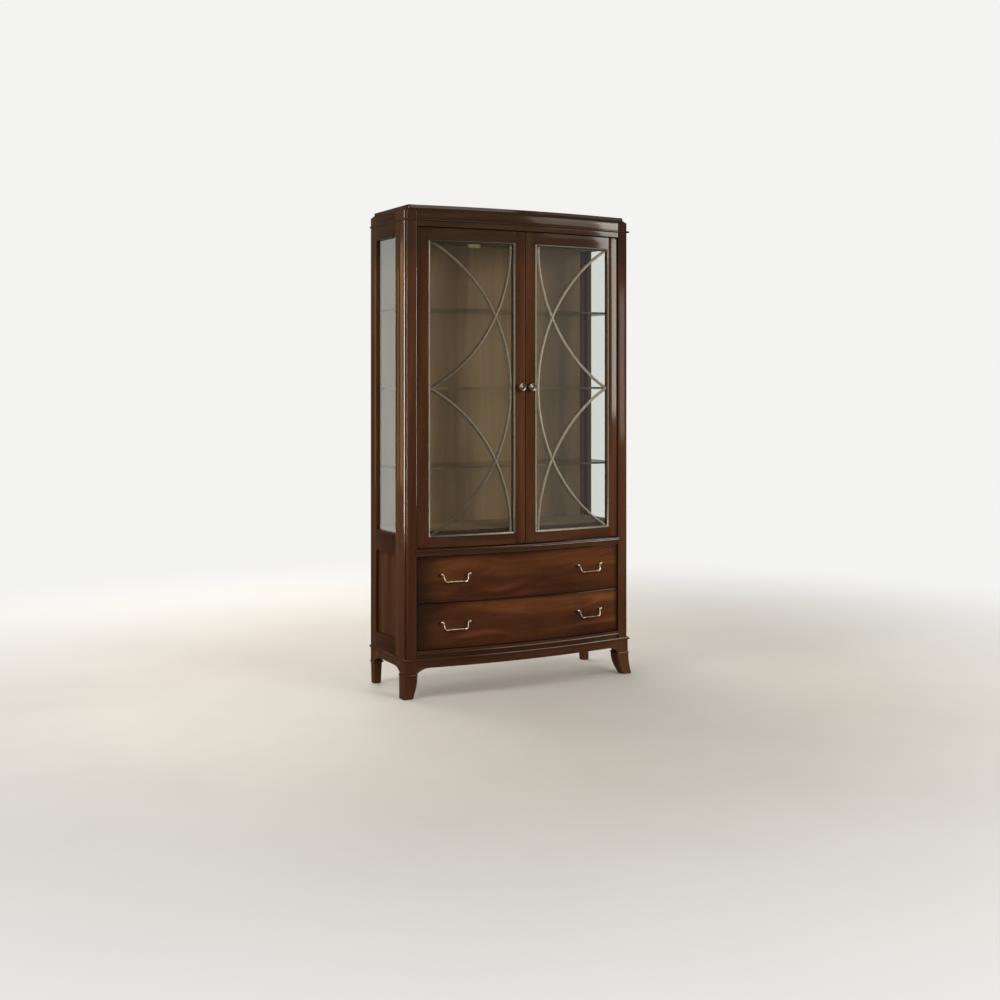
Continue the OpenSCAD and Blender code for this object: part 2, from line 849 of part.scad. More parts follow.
module door_glass(right) {
    g = seat_gap;
    placed() on_side(right) color(clear)
        bow_wall(door_r - lip_depth + g, door_r - glass_depth - g,
            frame_x0 + g, frame_x1 - g, frame_z0 + g, frame_z1 - g);
}

// upright outline that is carried through the bowed wall of a door
module through_door() {
    translate([0, 2 * bow_sag, 0]) rotate([90, 0, 0]) linear_extrude(4 * bow_sag) children();
}

// three rings of bar whose parts inside the glass make the crossing arcs
module fret_outline() {
    for (z = [sight_z0 - 4, fret_mid, sight_z1 + 4]) intersection() {
        translate([fret_cx, z]) difference() {
            circle(fret_r + fret_w / 2, $fn = 720);
            circle(fret_r - fret_w / 2, $fn = 720);
        }
        translate([sight_x0 - eps, sight_z0 - eps])
            square([sight_x1 - sight_x0 + 2 * eps, sight_z1 - sight_z0 + 2 * eps]);
    }
}

module fretwork(right) {
    back_r = door_r - glass_depth;
    placed() on_side(right) color(pewter) {
        difference() {
            bow_wall(back_r, door_r + bead_proud, frame_x0, frame_x1, frame_z0, frame_z1);
            bow_wall(back_r - 1, door_r + 2 * bead_proud, sight_x0, sight_x1, sight_z0, sight_z1);
        }
        intersection() {
            bow_wall(back_r, back_r + fret_t, frame_x0, frame_x1, frame_z0, frame_z1);
            through_door() fret_outline();
        }
    }
}

// half section of a knob: rose, neck, rounded head, ring and boss on its face
module knob_section() {
    edge = 4;
    ring_w = 3;
    head_z = knob_l - ring_w - 2 * edge;
    difference() {
        union() {
            square([knob_rose_r, ring_w]);
            square([knob_neck_r, head_z + edge]);
            translate([0, head_z]) square([knob_r - edge, 2 * edge]);
            translate([knob_r - edge, head_z + edge]) circle(edge, $fn = 32);
            translate([0, head_z + edge]) square([knob_boss_r, ring_w + edge]);
            translate([knob_r - 2 * ring_w, head_z + edge]) square([ring_w, ring_w + edge]);
        }
        translate([knob_r - ring_w, knob_l - ring_w]) square(edge);
    }
}

module knob(right) {
    placed() on_side(right) color(pewter) translate([knob_x, knob_base_y, knob_z])
        rotate([90, 0, 0]) rotate_extrude($fn = 96) knob_section();
}

// flat outline of a pivot hinge plate with its eye round the pin
module plate_outline() {
    y_mid = face_y(door_x0 + plate_l / 2, door_r) + board / 2;
    arm_in = 2.5;
    arm_w = 7;
    translate([door_x0 + 1, y_mid - plate_w / 2]) square([plate_l, plate_w]);
    translate([pivot_x, pivot_y]) circle(pivot_in - 2 * run_gap, $fn = 48);
    translate([pivot_x - arm_in, pivot_y]) square([arm_w, y_mid - pivot_y]);
}

module hinge_leaves(right) {
    placed() on_side(right) color(steel) for (z = [door_z0 - plate_t, door_z1])
        translate([0, 0, z]) linear_extrude(plate_t) difference() {
            plate_outline();
            translate([pivot_x, pivot_y]) circle(pivot_r + pivot_fit, $fn = 48);
        }
}

module case_pivot_pair() {
    pin_in = 2.5;
    pin_l = pivot_gap + pin_in;
    for (z = [waist_top, top_rail_z - plate_t])
        translate([0, 0, z]) linear_extrude(plate_t) plate_outline();
    for (z = [waist_top + seat_gap, top_rail_z - pin_l])
        translate([pivot_x, pivot_y, z]) cylinder(r = pivot_r, h = pin_l - seat_gap, $fn = 48);
}

module case_pivots() {
    placed() color(steel) {
        case_pivot_pair();
        mirror([1, 0, 0]) case_pivot_pair();
    }
}

// runner under one drawer side and the guide beside it, drawn on the left
module runner(top_z, low_z) {
    y0 = post_y + seat_gap;
    y1 = side_back - seat_gap;
    block([-side_in, y0, low_z], [-box_x + drawer_side_t + runner_in, y1, top_z]);
    block([-side_in, y0, top_z - eps], [-box_x - guide_gap, y1, top_z + guide_h]);
}

module drawer_runners() {
    upper_top = upper_z0 + drawer_box_lift - run_gap;
    lower_top = lower_z0 + drawer_box_lift - run_gap;
    placed() color(inside_brown) for (s = [0, 1]) mirror([s, 0, 0]) {
        runner(upper_top, upper_top - runner_t);
        runner(lower_top, base_top + bottom_t);
    }
}

module drawer_front(z0, z1) {
    placed() color(crotch)
        bow_wall(door_r - drawer_front_t, door_r, -post_in + front_gap, post_in - front_gap, z0, z1);
}

// sides, back and bottom of a drawer, glued up with the front
module drawer_box(front_z0, front_z1) {
    z0 = front_z0 + drawer_box_lift;
    z1 = front_z1 - drawer_box_drop;
    x1 = box_x - drawer_side_t - seat_gap;
    y0 = -2 * bow_sag;
    y1 = box_back - drawer_side_t;
    bottom_z = z0 + drawer_bottom_up;
    placed() color(inside_brown) intersection() {
        union() {
            block([-box_x, y0, z0], [-box_x + drawer_side_t, box_back, z1]);
            block([box_x - drawer_side_t, y0, z0], [box_x, box_back, z1]);
            block([-x1, y1, z0], [x1, box_back, z1 - drawer_back_drop]);
            block([-x1, y0, bottom_z], [x1, y1 - seat_gap, bottom_z + drawer_bottom_t]);
        }
        behind_bow(drawer_back_r, z0 - 1, z1 + 1);
    }
}

// frame of one pull: origin on the drawer face, x along it, -y outward
module at_pull(side, z) {
    a = side * pull_turn;
    translate([door_r * sin(a), bow_cy - door_r * cos(a), z]) rotate([0, 0, a]) children();
}

// one post: a flared foot, a neck and a ball that holds the end of the bail
module pull_post() {
    foot_t = 2;
    flare_l = 5;
    base_y = pull_fall - seat_gap / 3;
    reach = pull_out + base_y - ball_r + foot_t;
    difference() {
        union() {
            translate([0, base_y, 0]) rotate([90, 0, 0]) {
                cylinder(r = pull_foot_r, h = foot_t, $fn = 48);
                translate([0, 0, foot_t])
                    cylinder(r1 = pull_foot_r - 1, r2 = pull_neck_r, h = flare_l, $fn = 48);
                cylinder(r = pull_neck_r, h = reach, $fn = 48);
            }
            translate([0, -pull_out, 0]) rotate([0, 0, 135]) sphere(ball_r, $fn = 48);
        }
        translate([0, -pull_out, 0]) rotate([0, 90, 0])
            cylinder(r = bail_pin_r + bail_fit, h = 3 * ball_r, center = true, $fn = 32);
    }
}

module pull_posts(z) {
    placed() color(pewter) for (side = [-1, 1]) at_pull(side, z)
        for (x = [-pull_cc / 2, pull_cc / 2]) translate([x, 0, 0]) pull_post();
}

// half of a bail: pivot, elbow, leg, corner, neck and half of the grip
module half_bail() {
    leg = [grip_x - elbow_x, -bail_reach, -bail_drop];
    leg_l = norm(leg);
    lean = acos(leg[2] / leg_l);
    turn = atan2(leg[1], leg[0]);
    translate([elbow_x, 0, 0]) {
        rotate([0, 90, 0]) cylinder(r = bail_pin_r, h = pull_cc / 2 - elbow_x + 2, $fn = 32);
        rotate([0, lean, turn]) {
            sphere(bail_r, $fn = 32);
            cylinder(r = bail_r, h = leg_l, $fn = 32);
        }
    }
    translate([grip_x, -bail_reach, -bail_drop]) rotate([90, 0, 0]) sphere(corner_r, $fn = 32);
    translate([0, -bail_reach, -bail_drop]) rotate([0, 90, 0]) {
        cylinder(r = grip_r, h = grip_l / 2, $fn = 32);
        translate([0, 0, grip_l / 2 - eps]) cylinder(r = bail_r, h = grip_x - grip_l / 2, $fn = 32);
    }
}

module bail(side, z) {
    placed() color(pewter) at_pull(side, z) translate([0, -pull_out, 0]) {
        half_bail();
        mirror([1, 0, 0]) half_bail();
    }
}

front_post(false);  // front_post_left
front_post(true);  // front_post_right
back_post(false);  // back_post_left
back_post(true);  // back_post_right
front_leg(false);  // front_leg_left
front_leg(true);  // front_leg_right
back_leg(false);  // back_leg_left
back_leg(true);  // back_leg_right
side_frame(false);  // side_frame_left
side_frame(true);  // side_frame_right
side_glass(false);  // side_glass_left
side_glass(true);  // side_glass_right
side_panel(false);  // side_panel_left
side_panel(true);  // side_panel_right
top_cap();
cornice_band();
cornice_bead();
top_rail();
ceiling_panel();
display_deck();
case_bottom();
back_panel_upper();
back_panel_lower();
waist_rail();
bottom_rail();
base_bead();
front_apron();
side_and_back_aprons();
shelf(2);  // shelf_upper
shelf(1);  // shelf_middle
shelf(0);  // shelf_lower
shelf_pins();
light_housings();
light_lenses();
hinge_stile(false);  // left_hinge_stile
lock_stile(false);  // left_lock_stile
door_rails(false);  // left_door_rails
door_glass(false);  // left_door_glass
fretwork(false);  // left_fretwork
knob(false);  // left_knob
hinge_leaves(false);  // left_hinge_leaves
hinge_stile(true);  // right_hinge_stile
lock_stile(true);  // right_lock_stile
door_rails(true);  // right_door_rails
door_glass(true);  // right_door_glass
fretwork(true);  // right_fretwork
knob(true);  // right_knob
hinge_leaves(true);  // right_hinge_leaves
case_pivots();
drawer_runners();
drawer_front(upper_z0, upper_z1);  // upper_drawer_front
drawer_box(upper_z0, upper_z1);  // upper_drawer_box
drawer_front(lower_z0, lower_z1);  // lower_drawer_front
drawer_box(lower_z0, lower_z1);  // lower_drawer_box
pull_posts(pull_high_z);  // upper_pull_posts
pull_posts(pull_low_z);  // lower_pull_posts
bail(-1, pull_high_z);  // upper_left_bail
bail(1, pull_high_z);  // upper_right_bail
bail(-1, pull_low_z);  // lower_left_bail
bail(1, pull_low_z);  // lower_right_bail
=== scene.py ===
"""Looks of the bow-front china cabinet: camera, detailed pieces, materials and lamps.

Metres, +Z up, front towards -Y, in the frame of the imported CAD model. What the case has on
both sides, and the doors, is drawn on the left and mirrored.
"""

import json
import math

import bmesh
import bpy
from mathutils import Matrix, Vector

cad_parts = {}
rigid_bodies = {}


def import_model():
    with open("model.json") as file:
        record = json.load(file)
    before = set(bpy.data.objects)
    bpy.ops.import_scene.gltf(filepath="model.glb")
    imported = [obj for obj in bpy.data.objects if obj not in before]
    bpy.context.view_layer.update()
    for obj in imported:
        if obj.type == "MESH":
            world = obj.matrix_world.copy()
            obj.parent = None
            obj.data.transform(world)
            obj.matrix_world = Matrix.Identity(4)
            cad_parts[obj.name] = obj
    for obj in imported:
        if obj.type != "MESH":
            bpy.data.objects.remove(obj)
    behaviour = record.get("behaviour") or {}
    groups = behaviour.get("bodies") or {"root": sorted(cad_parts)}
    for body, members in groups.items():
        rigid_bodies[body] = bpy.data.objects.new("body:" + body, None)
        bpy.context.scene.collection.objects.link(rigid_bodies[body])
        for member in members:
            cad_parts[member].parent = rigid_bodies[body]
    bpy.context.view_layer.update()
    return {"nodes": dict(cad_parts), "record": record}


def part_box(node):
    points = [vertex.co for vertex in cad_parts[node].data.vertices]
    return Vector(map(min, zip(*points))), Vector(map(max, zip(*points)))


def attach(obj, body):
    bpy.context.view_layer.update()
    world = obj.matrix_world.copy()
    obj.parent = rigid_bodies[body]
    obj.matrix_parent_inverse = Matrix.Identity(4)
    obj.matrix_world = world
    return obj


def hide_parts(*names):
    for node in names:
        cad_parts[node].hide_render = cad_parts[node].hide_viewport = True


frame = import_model()
NODES = frame["nodes"]
BODIES = frame["record"]["behaviour"]["bodies"]
BODY_OF = {name: body for body, names in BODIES.items() for name in names}
MM = 0.001

# ---------------------------------------------------------------- camera
# level and shifted, fitted to the edges of the case in the photograph
camera_data = bpy.data.cameras.new("camera")
camera_data.sensor_width = 36.0
camera_data.lens = 48.735
camera_data.shift_y = -0.1202
camera_data.clip_start = 0.05
camera_data.clip_end = 100.0
camera = bpy.data.objects.new("camera", camera_data)
bpy.context.scene.collection.objects.link(camera)
camera.location = (-2.8551, -5.3698, 1.3429)
camera.rotation_euler = (math.radians(90.0), 0.0, math.radians(-27.81))
bpy.context.scene.camera = camera
bpy.context.scene.view_settings.view_transform = "Standard"

# ---------------------------------------------------------------- frame of the case
POST_LO, POST_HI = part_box("front_post_left")
HALF_W = -POST_LO.x
POST_IN = -POST_HI.x
FRONT_Y = POST_LO.y
BACK_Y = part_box("back_post_left")[1].y
SAG = FRONT_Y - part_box("top_rail")[0].y
BOW_R = (POST_IN**2 + SAG**2) / (2 * SAG)
BOW_CY = FRONT_Y + BOW_R - SAG
DOOR_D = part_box("upper_drawer_front")[0].y - (FRONT_Y - SAG)
STEP = 12 * MM
EASE = 1.5 * MM
SIDES = (("left", False), ("right", True))


def bow_y(x, depth=0.0):
    """y of the bowed surface that lies depth behind the line of the rails."""
    return BOW_CY - math.sqrt((BOW_R - depth) ** 2 - x * x)


def along_x(u, a, b):
    """Bowed piece along the front: u is x, a the depth behind the bow, b is z."""
    return (u, bow_y(u, a), b)


def bow_upright(u, a, b):
    """Bowed upright piece: u is z, a is x, b the depth behind the bow."""
    return (a, bow_y(a, b), u)


def upright(u, a, b):
    """Straight upright piece: u is z, a is x, b is y."""
    return (a, b, u)


def along_y(u, a, b):
    """Straight piece from front to back: u is y, a is x, b is z."""
    return (a, u, b)


# ---------------------------------------------------------------- mesh building
class Shape:
    """Vertices and faces of one piece, added solid by solid."""

    def __init__(self):
        self.verts = []
        self.faces = []

    def loft(self, rings, closed=False):
        """Skin between rings of equal length, with end faces unless it is closed."""
        base, n, m = len(self.verts), len(rings[0]), len(rings)
        for ring in rings:
            self.verts.extend(ring)
        for i in range(m if closed else m - 1):
            lo, hi = base + i * n, base + (i + 1) % m * n
            for k in range(n):
                j = (k + 1) % n
                self.faces.append((lo + k, lo + j, hi + j, hi + k))
        if not closed:
            self.faces.append(tuple(base + k for k in reversed(range(n))))
            self.faces.append(tuple(base + (m - 1) * n + k for k in range(n)))

    def prism(self, place, section, stations):
        """Section [(a, b), ...] carried along u."""
        self.loft([[place(u, a, b) for a, b in section] for u in stations])

    def bar(self, place, u0, u1, a0, a1, b0, b1, ease=EASE, step=10.0):
        """Board from u0 to u1 with every arris rounded by ease."""
        turns = [math.radians(t) for t in (0, 30, 60, 90)]
        ends = [(ease * (1 - math.cos(t)), ease * (1 - math.sin(t))) for t in turns]
        inner = spread(u0 + ease, u1 - ease, step)[1:-1]
        stations = [(u0 + d, i) for d, i in ends] + [(u, 0.0) for u in inner]
        stations += [(u1 - d, i) for d, i in reversed(ends)]
        rings = []
        for u, i in stations:
            section = rounded(a0 + i, a1 - i, b0 + i, b1 - i, ease - i)
            rings.append([place(u, a, b) for a, b in section])
        self.loft(rings)

    def lathe(self, place, profile, count):
        """Profile [(radius, length), ...] turned; place(x, length, z) gives the point."""
        rings = []
        turn = [2 * math.pi * k / count for k in range(count)]
        for r, length in profile:
            rings.append([place(r * math.cos(t), length, r * math.sin(t)) for t in turn])
        self.loft(rings)


def spread(a, b, step):
    """Even stations from a to b, about step apart."""
    n = max(1, math.ceil(abs(b - a) / step))
    return [a + (b - a) * k / n for k in range(n + 1)]


def arc(cx, cy, r, start, end, n=4):
    """Points of an arc, angles in degrees."""
    turn = [math.radians(start + (end - start) * k / n) for k in range(n + 1)]
    return [(cx + r * math.cos(t), cy + r * math.sin(t)) for t in turn]


def rounded(a0, a1, b0, b1, r, n=3):
    """Closed loop of a rectangle with rounded corners."""
    loop = arc(a1 - r, b1 - r, r, 0, 90, n) + arc(a0 + r, b1 - r, r, 90, 180, n)
    return loop + arc(a0 + r, b0 + r, r, 180, 270, n) + arc(a1 - r, b0 + r, r, 270, 360, n)


def piece(name, shape, material, node_name, mirror=False, tone=0.0, sharp=32):
    """Makes the piece, which stands for the CAD node and rides on its body."""
    bm = bmesh.new()
    for v in shape.verts:
        bm.verts.new((-v[0] if mirror else v[0], v[1], v[2]))
    bm.verts.ensure_lookup_table()
    for f in shape.faces:
        bm.faces.new([bm.verts[k] for k in f])
    bmesh.ops.remove_doubles(bm, verts=bm.verts, dist=2e-6)
    bmesh.ops.dissolve_degenerate(bm, edges=bm.edges, dist=1e-6)
    bmesh.ops.recalc_face_normals(bm, faces=bm.faces)
    mesh = bpy.data.meshes.new(name)
    bm.to_mesh(mesh)
    bm.free()
    mesh.polygons.foreach_set("use_smooth", [True] * len(mesh.polygons))
    mesh.set_sharp_from_angle(angle=math.radians(sharp))
    mesh.attributes.new("tone", "FLOAT", "POINT")
    mesh.attributes["tone"].data.foreach_set("value", [tone] * len(mesh.vertices))
    mesh.materials.append(material)
    obj = bpy.data.objects.new(name, mesh)
    bpy.context.scene.collection.objects.link(obj)
    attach(obj, BODY_OF[node_name])
    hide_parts(node_name)


def dress(material, *nodes):
    """Gives CAD nodes whose shape is right their material."""
    for n in nodes:
        for s in NODES[n].material_slots:
            s.material = material


# ---------------------------------------------------------------- shader nodes
def new_material(name):
    """An empty material with a Principled shader."""
    mat = bpy.data.materials.new(name)
    mat.use_nodes = True
    nt = mat.node_tree
    nt.nodes.clear()
    out = nt.nodes.new("ShaderNodeOutputMaterial")
    bsdf = nt.nodes.new("ShaderNodeBsdfPrincipled")
    nt.links.new(bsdf.outputs["BSDF"], out.inputs["Surface"])
    return mat, nt, bsdf


def feed(nt, made, values):
    """Gives a node its inputs: a socket among the values is linked, the others are set."""
    for key, value in values.items():
        if isinstance(value, bpy.types.NodeSocket):
            nt.links.new(value, made.inputs[key])
        else:
            made.inputs[key].default_value = value


def node(nt, kind, values=None, **settings):
    """A node with its settings and the values of its inputs."""
    made = nt.nodes.new("ShaderNode" + kind)
    for key, value in settings.items():
        setattr(made, key, value)
    feed(nt, made, values or {})
    return made


def math_node(nt, operation, a, b=0.0, clamp=False):
    """Result of a and b, or of a alone."""
    return node(nt, "Math", {0: a, 1: b}, operation=operation, use_clamp=clamp).outputs[0]


def vector_math(nt, operation, a, b):
    """Vector of a and b; b is a number where the operation is SCALE."""
    second = "Scale" if operation == "SCALE" else 1
    return node(nt, "VectorMath", {0: a, second: b}, operation=operation).outputs[0]


def length_of(nt, vector):
    """Length of a vector."""
    return node(nt, "VectorMath", {0: vector}, operation="LENGTH").outputs["Value"]


def split_xyz(nt, vector):
    """Outputs X, Y and Z of a vector."""
    return node(nt, "SeparateXYZ", {0: vector}).outputs


def object_coords(nt):
    """Coordinates of the piece itself, in metres."""
    return node(nt, "TexCoord").outputs["Object"]


def map_range(nt, value, start, end, low=0.0, high=1.0, kind="LINEAR"):
    """Value carried from start..end to low..high, and held beyond the ends."""
    ranges = {"Value": value, "From Min": start, "From Max": end, "To Min": low, "To Max": high}
    return node(nt, "MapRange", ranges, interpolation_type=kind).outputs["Result"]


def noise(nt, coords, scale, detail, roughness=0.5, distortion=0.0):
    """Outputs Fac and Color of a noise texture."""
    values = {"Vector": coords, "Scale": scale, "Detail": detail, "Roughness": roughness}
    return node(nt, "TexNoise", {**values, "Distortion": distortion}).outputs


def ramp(nt, fac, stops):
    """Colour ramp [(place, colour), ...]."""
    made = node(nt, "ValToRGB", {"Fac": fac})
    elements = made.color_ramp.elements
    while len(elements) < len(stops):
        elements.new(0.5)
    for e, (place, colour) in zip(elements, stops):
        e.position = place
        e.color = (*colour, 1.0)
    return made.outputs["Color"]


def mix(nt, fac, a, b, blend="MIX"):
    """Colour between a and b, or a blended with b, as far as fac says."""
    made = node(nt, "Mix", data_type="RGBA", blend_type=blend)
    first, second = [(*c, 1.0) if isinstance(c, tuple) else c for c in (a, b)]
    feed(nt, made, {0: fac, 6: first, 7: second})
    return made.outputs[2]


def mix_shader(nt, fac, a, b):
    """Shader between a and b."""
    return node(nt, "MixShader", {0: fac, 1: a, 2: b}).outputs["Shader"]


def glowing(nt, colour):
    """Shader that shows a plain colour whatever the light."""
    return node(nt, "Emission", {"Color": (*colour, 1.0), "Strength": 1.0}).outputs["Emission"]


def show(nt, surface):
    """Makes a shader the surface of the material."""
    out = next(n for n in nt.nodes if n.type == "OUTPUT_MATERIAL")
    nt.links.new(surface, out.inputs["Surface"])


def relief(nt, bsdf, height, strength, distance):
    """Fine relief of the surface; distance is in metres."""
    values = {"Strength": strength, "Distance": distance, "Height": height}
    feed(nt, bsdf, {"Normal": node(nt, "Bump", values).outputs["Normal"]})


# ---------------------------------------------------------------- looks
DRAWER_LO, DRAWER_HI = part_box("upper_drawer_front")
DRAWER_END = DRAWER_HI.x
DRAWER_SPLIT = (DRAWER_LO.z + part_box("lower_drawer_front")[1].z) / 2
DRAWER_TALL = DRAWER_HI.z - DRAWER_SPLIT
# colour of the dark glazing and painted shade at the edges of the drawer fronts
GLAZE_SHADE_COLOUR = (0.019, 0.0095, 0.0058)
# how far the darker glazing and painted shade reach, in metres, and how much of the colour they
# leave at the very edge
GLAZE_SHADE_ENDS, GLAZE_SHADE_EDGES = (0.14, 0.1), (0.028, 0.35)
# the painted shade reaches this many times further in from the left end than from the right
SHADE_LEFT_TO_RIGHT = 5.0
# painted shade towards the cornice: its tint, its strength and the heights over which it sets in
CORNICE_SHADE_TINT, CORNICE_SHADE_DEPTH = (0.57, 0.78, 0.98), 0.75
CORNICE_Z0, CORNICE_Z1 = 1.80, 1.94
DECK_R = BOW_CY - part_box("display_deck")[0].y
LIP_W = 6 * MM
TONE_SHIFT = (3.7, 5.3, 2.9)
GRAIN_STOPS = (0.31, 0.5, 0.69)
BAND_SQUEEZE, FIBRE_SQUEEZE = 0.07, 0.035
FIBRE_SCALE, FIBRE_SHARE = 420.0, 0.13
PORE_SCALE, PORE_SHARE, PORE_DEPTH = 900.0, 0.39, 0.25
PORE_TINT = (0.6, 0.5, 0.45)


def grain_coords(nt, axis, squeeze, warp=0.0):
    """Object coordinates, shifted piece by piece and stretched along the grain."""
    tone = node(nt, "Attribute", attribute_name="tone").outputs["Fac"]
    shift = vector_math(nt, "SCALE", TONE_SHIFT, tone)
    moved = vector_math(nt, "ADD", object_coords(nt), shift)
    if warp:
        swell = noise(nt, moved, 3.2, 1.0, 0.4)["Color"]
        centred = vector_math(nt, "SUBTRACT", swell, (0.5, 0.5, 0.5))
        moved = vector_math(nt, "ADD", moved, vector_math(nt, "SCALE", centred, warp))
    scale = [1.0, 1.0, 1.0]
    scale["XYZ".index(axis)] = squeeze
    return node(nt, "Mapping", {"Vector": moved, "Scale": scale}).outputs[0]


def glaze_and_shade(nt, colour):
    """Dark glazing and painted shade towards the edges of the drawer fronts; the shade is widest at
    the left end, turned from the light.
    """
    parts = split_xyz(nt, object_coords(nt))
    from_left = math_node(nt, "ADD", parts["X"], DRAWER_END)
    from_right = math_node(nt, "SUBTRACT", DRAWER_END, parts["X"])
    narrow = math_node(nt, "MULTIPLY", from_right, SHADE_LEFT_TO_RIGHT)
    from_end = math_node(nt, "MINIMUM", from_left, narrow)
    split = math_node(nt, "ABSOLUTE", math_node(nt, "SUBTRACT", parts["Z"], DRAWER_SPLIT))
    from_edge = math_node(nt, "MINIMUM", split, math_node(nt, "SUBTRACT", DRAWER_TALL, split))
    ends = map_range(nt, from_end, 0.0, *GLAZE_SHADE_ENDS, kind="SMOOTHSTEP")
    edges = map_range(nt, from_edge, 0.0, *GLAZE_SHADE_EDGES, kind="SMOOTHSTEP")
    return mix(nt, math_node(nt, "MULTIPLY", ends, edges), GLAZE_SHADE_COLOUR, colour)


def cornice_painted_shade(nt, colour):
    """Painted shade: the colour turns darker and greyer towards the cornice, where less light
    falls.
    """
    height = split_xyz(nt, object_coords(nt))["Z"]
    fade = map_range(nt, height, CORNICE_Z0, CORNICE_Z1, 0.0, CORNICE_SHADE_DEPTH, "SMOOTHSTEP")
    return mix(nt, fade, colour, CORNICE_SHADE_TINT, "MULTIPLY")


def lipping(nt, colour):
    """A mahogany lip along the bowed front edge of the display deck."""
    from_centre = vector_math(nt, "SUBTRACT", object_coords(nt), (0, BOW_CY, 0))
    reach = length_of(nt, vector_math(nt, "MULTIPLY", from_centre, (1, 1, 0)))
    lip = math_node(nt, "GREATER_THAN", reach, DECK_R - LIP_W)
    return mix(nt, lip, colour, MAHOGANY[0])


def wood(name, axis, stops, rough=0.1, coat=0.8, figure=1.0, broad=12.0, warp=0.0, shade=None):
    """Polished wood with its grain along axis, and without a coat matt wood.

    stops are dark, middle and light; broad and figure are the scale and the swirl of the
    bands, warp bends them into flames, and shade changes the colour from place to place.
    """
    mat, nt, bsdf = new_material(name)
    bands = noise(nt, grain_coords(nt, axis, BAND_SQUEEZE, warp), broad, 4.0, 0.5, figure)["Fac"]
    fine = grain_coords(nt, axis, FIBRE_SQUEEZE)
    fibre = noise(nt, fine, FIBRE_SCALE, 3.0, 0.6)["Fac"]
    pores = noise(nt, fine, PORE_SCALE, 1.0)["Fac"]
    streaks = math_node(nt, "MULTIPLY", fibre, FIBRE_SHARE)
    grain = math_node(nt, "ADD", math_node(nt, "MULTIPLY", bands, 1 - FIBRE_SHARE), streaks)
    colour = ramp(nt, grain, list(zip(GRAIN_STOPS, stops)))
    open_pores = math_node(nt, "LESS_THAN", pores, PORE_SHARE)
    deep_pores = math_node(nt, "MULTIPLY", open_pores, PORE_DEPTH)
    colour = mix(nt, deep_pores, colour, PORE_TINT, "MULTIPLY")
    if shade:
        colour = shade(nt, colour)
    polish = "Coat Roughness" if coat else "Roughness"
    wear = map_range(nt, fibre, 0.0, 1.0, rough * 0.75, rough * 1.25)
    feed(nt, bsdf, {"Base Color": colour, polish: wear})
    feed(nt, bsdf, {"Specular IOR Level": 0.0 if coat else 0.2, "Coat Weight": coat})
    relief(nt, bsdf, grain, 0.03, 0.0003)
    return mat


def metal(name, dark, light, rough):
    """Brushed and slightly tarnished metal."""
    mat, nt, bsdf = new_material(name)
    cloud = noise(nt, object_coords(nt), 90.0, 5.0, 0.65)["Fac"]
    grit = noise(nt, object_coords(nt), 1600.0, 2.0)["Fac"]
    colour = ramp(nt, cloud, [(0.35, dark), (0.62, light)])
    dull = map_range(nt, cloud, 0.0, 1.0, rough + 0.04, rough - 0.03)
    feed(nt, bsdf, {"Base Color": colour, "Roughness": dull, "Metallic": 1.0})
    relief(nt, bsdf, grit, 0.1, 0.0002)
    return mat


def glass(name, tint, wave=0.02):
    """Clear plate with a very slight waviness that lets the lamps through."""
    mat, nt, bsdf = new_material(name)
    colour = (*tint, 1.0)
    clear = {"Base Color": colour, "Transmission Weight": 1.0, "Roughness": 0.0, "IOR": 1.5}
    feed(nt, bsdf, clear)
    relief(nt, bsdf, noise(nt, object_coords(nt), 6.0, 1.0)["Fac"], wave, 0.01)
    open_way = node(nt, "BsdfTransparent", {"Color": colour}).outputs["BSDF"]
    shadow = node(nt, "LightPath").outputs["Is Shadow Ray"]
    show(nt, mix_shader(nt, shadow, bsdf.outputs["BSDF"], open_way))
    return mat


def plastic(name, scale, dark, light, rough, glow=0.0):
    """Slightly mottled plastic, which may glow a little."""
    mat, nt, bsdf = new_material(name)
    speck = noise(nt, object_coords(nt), scale, 2.0)["Fac"]
    colour = ramp(nt, speck, [(0.3, dark), (0.7, light)])
    feed(nt, bsdf, {"Base Color": colour, "Roughness": rough})
    if glow:
        feed(nt, bsdf, {"Emission Color": colour, "Emission Strength": glow})
    return mat


# dark, middle and light of each wood
MAHOGANY = ((0.040, 0.0150, 0.0066), (0.066, 0.0248, 0.0101), (0.097, 0.0396, 0.0160))
RAILS = ((0.038, 0.0160, 0.0080), (0.062, 0.0260, 0.0123), (0.091, 0.0400, 0.0185))
# cap and cornice pieces: darker and greyer than the other mahogany, as painted shade and a painted
# grey sheen
SHADED_TOP_RAIL = ((0.024, 0.0118, 0.0070), (0.037, 0.0182, 0.0104), (0.054, 0.0275, 0.0148))
# side rails: darker than the uprights, as painted shade
SHADED_SIDE_RAIL = ((0.026, 0.0100, 0.0045), (0.042, 0.0160, 0.0066), (0.060, 0.0240, 0.0098))
DEEP = ((0.036, 0.0125, 0.005), (0.058, 0.0215, 0.008), (0.084, 0.033, 0.012))
FIGURED = ((0.036, 0.012, 0.0055), (0.082, 0.0265, 0.0095), (0.165, 0.060, 0.0175))
INSIDE = ((0.182, 0.112, 0.060), (0.232, 0.147, 0.080), (0.275, 0.180, 0.100))
# settings of the matt wood inside and of the flamed veneer of the drawer fronts
MATT = {"rough": 0.6, "coat": 0.0, "broad": 9.0}
FLAMED = {"figure": 0.6, "broad": 13.0, "warp": 0.088}

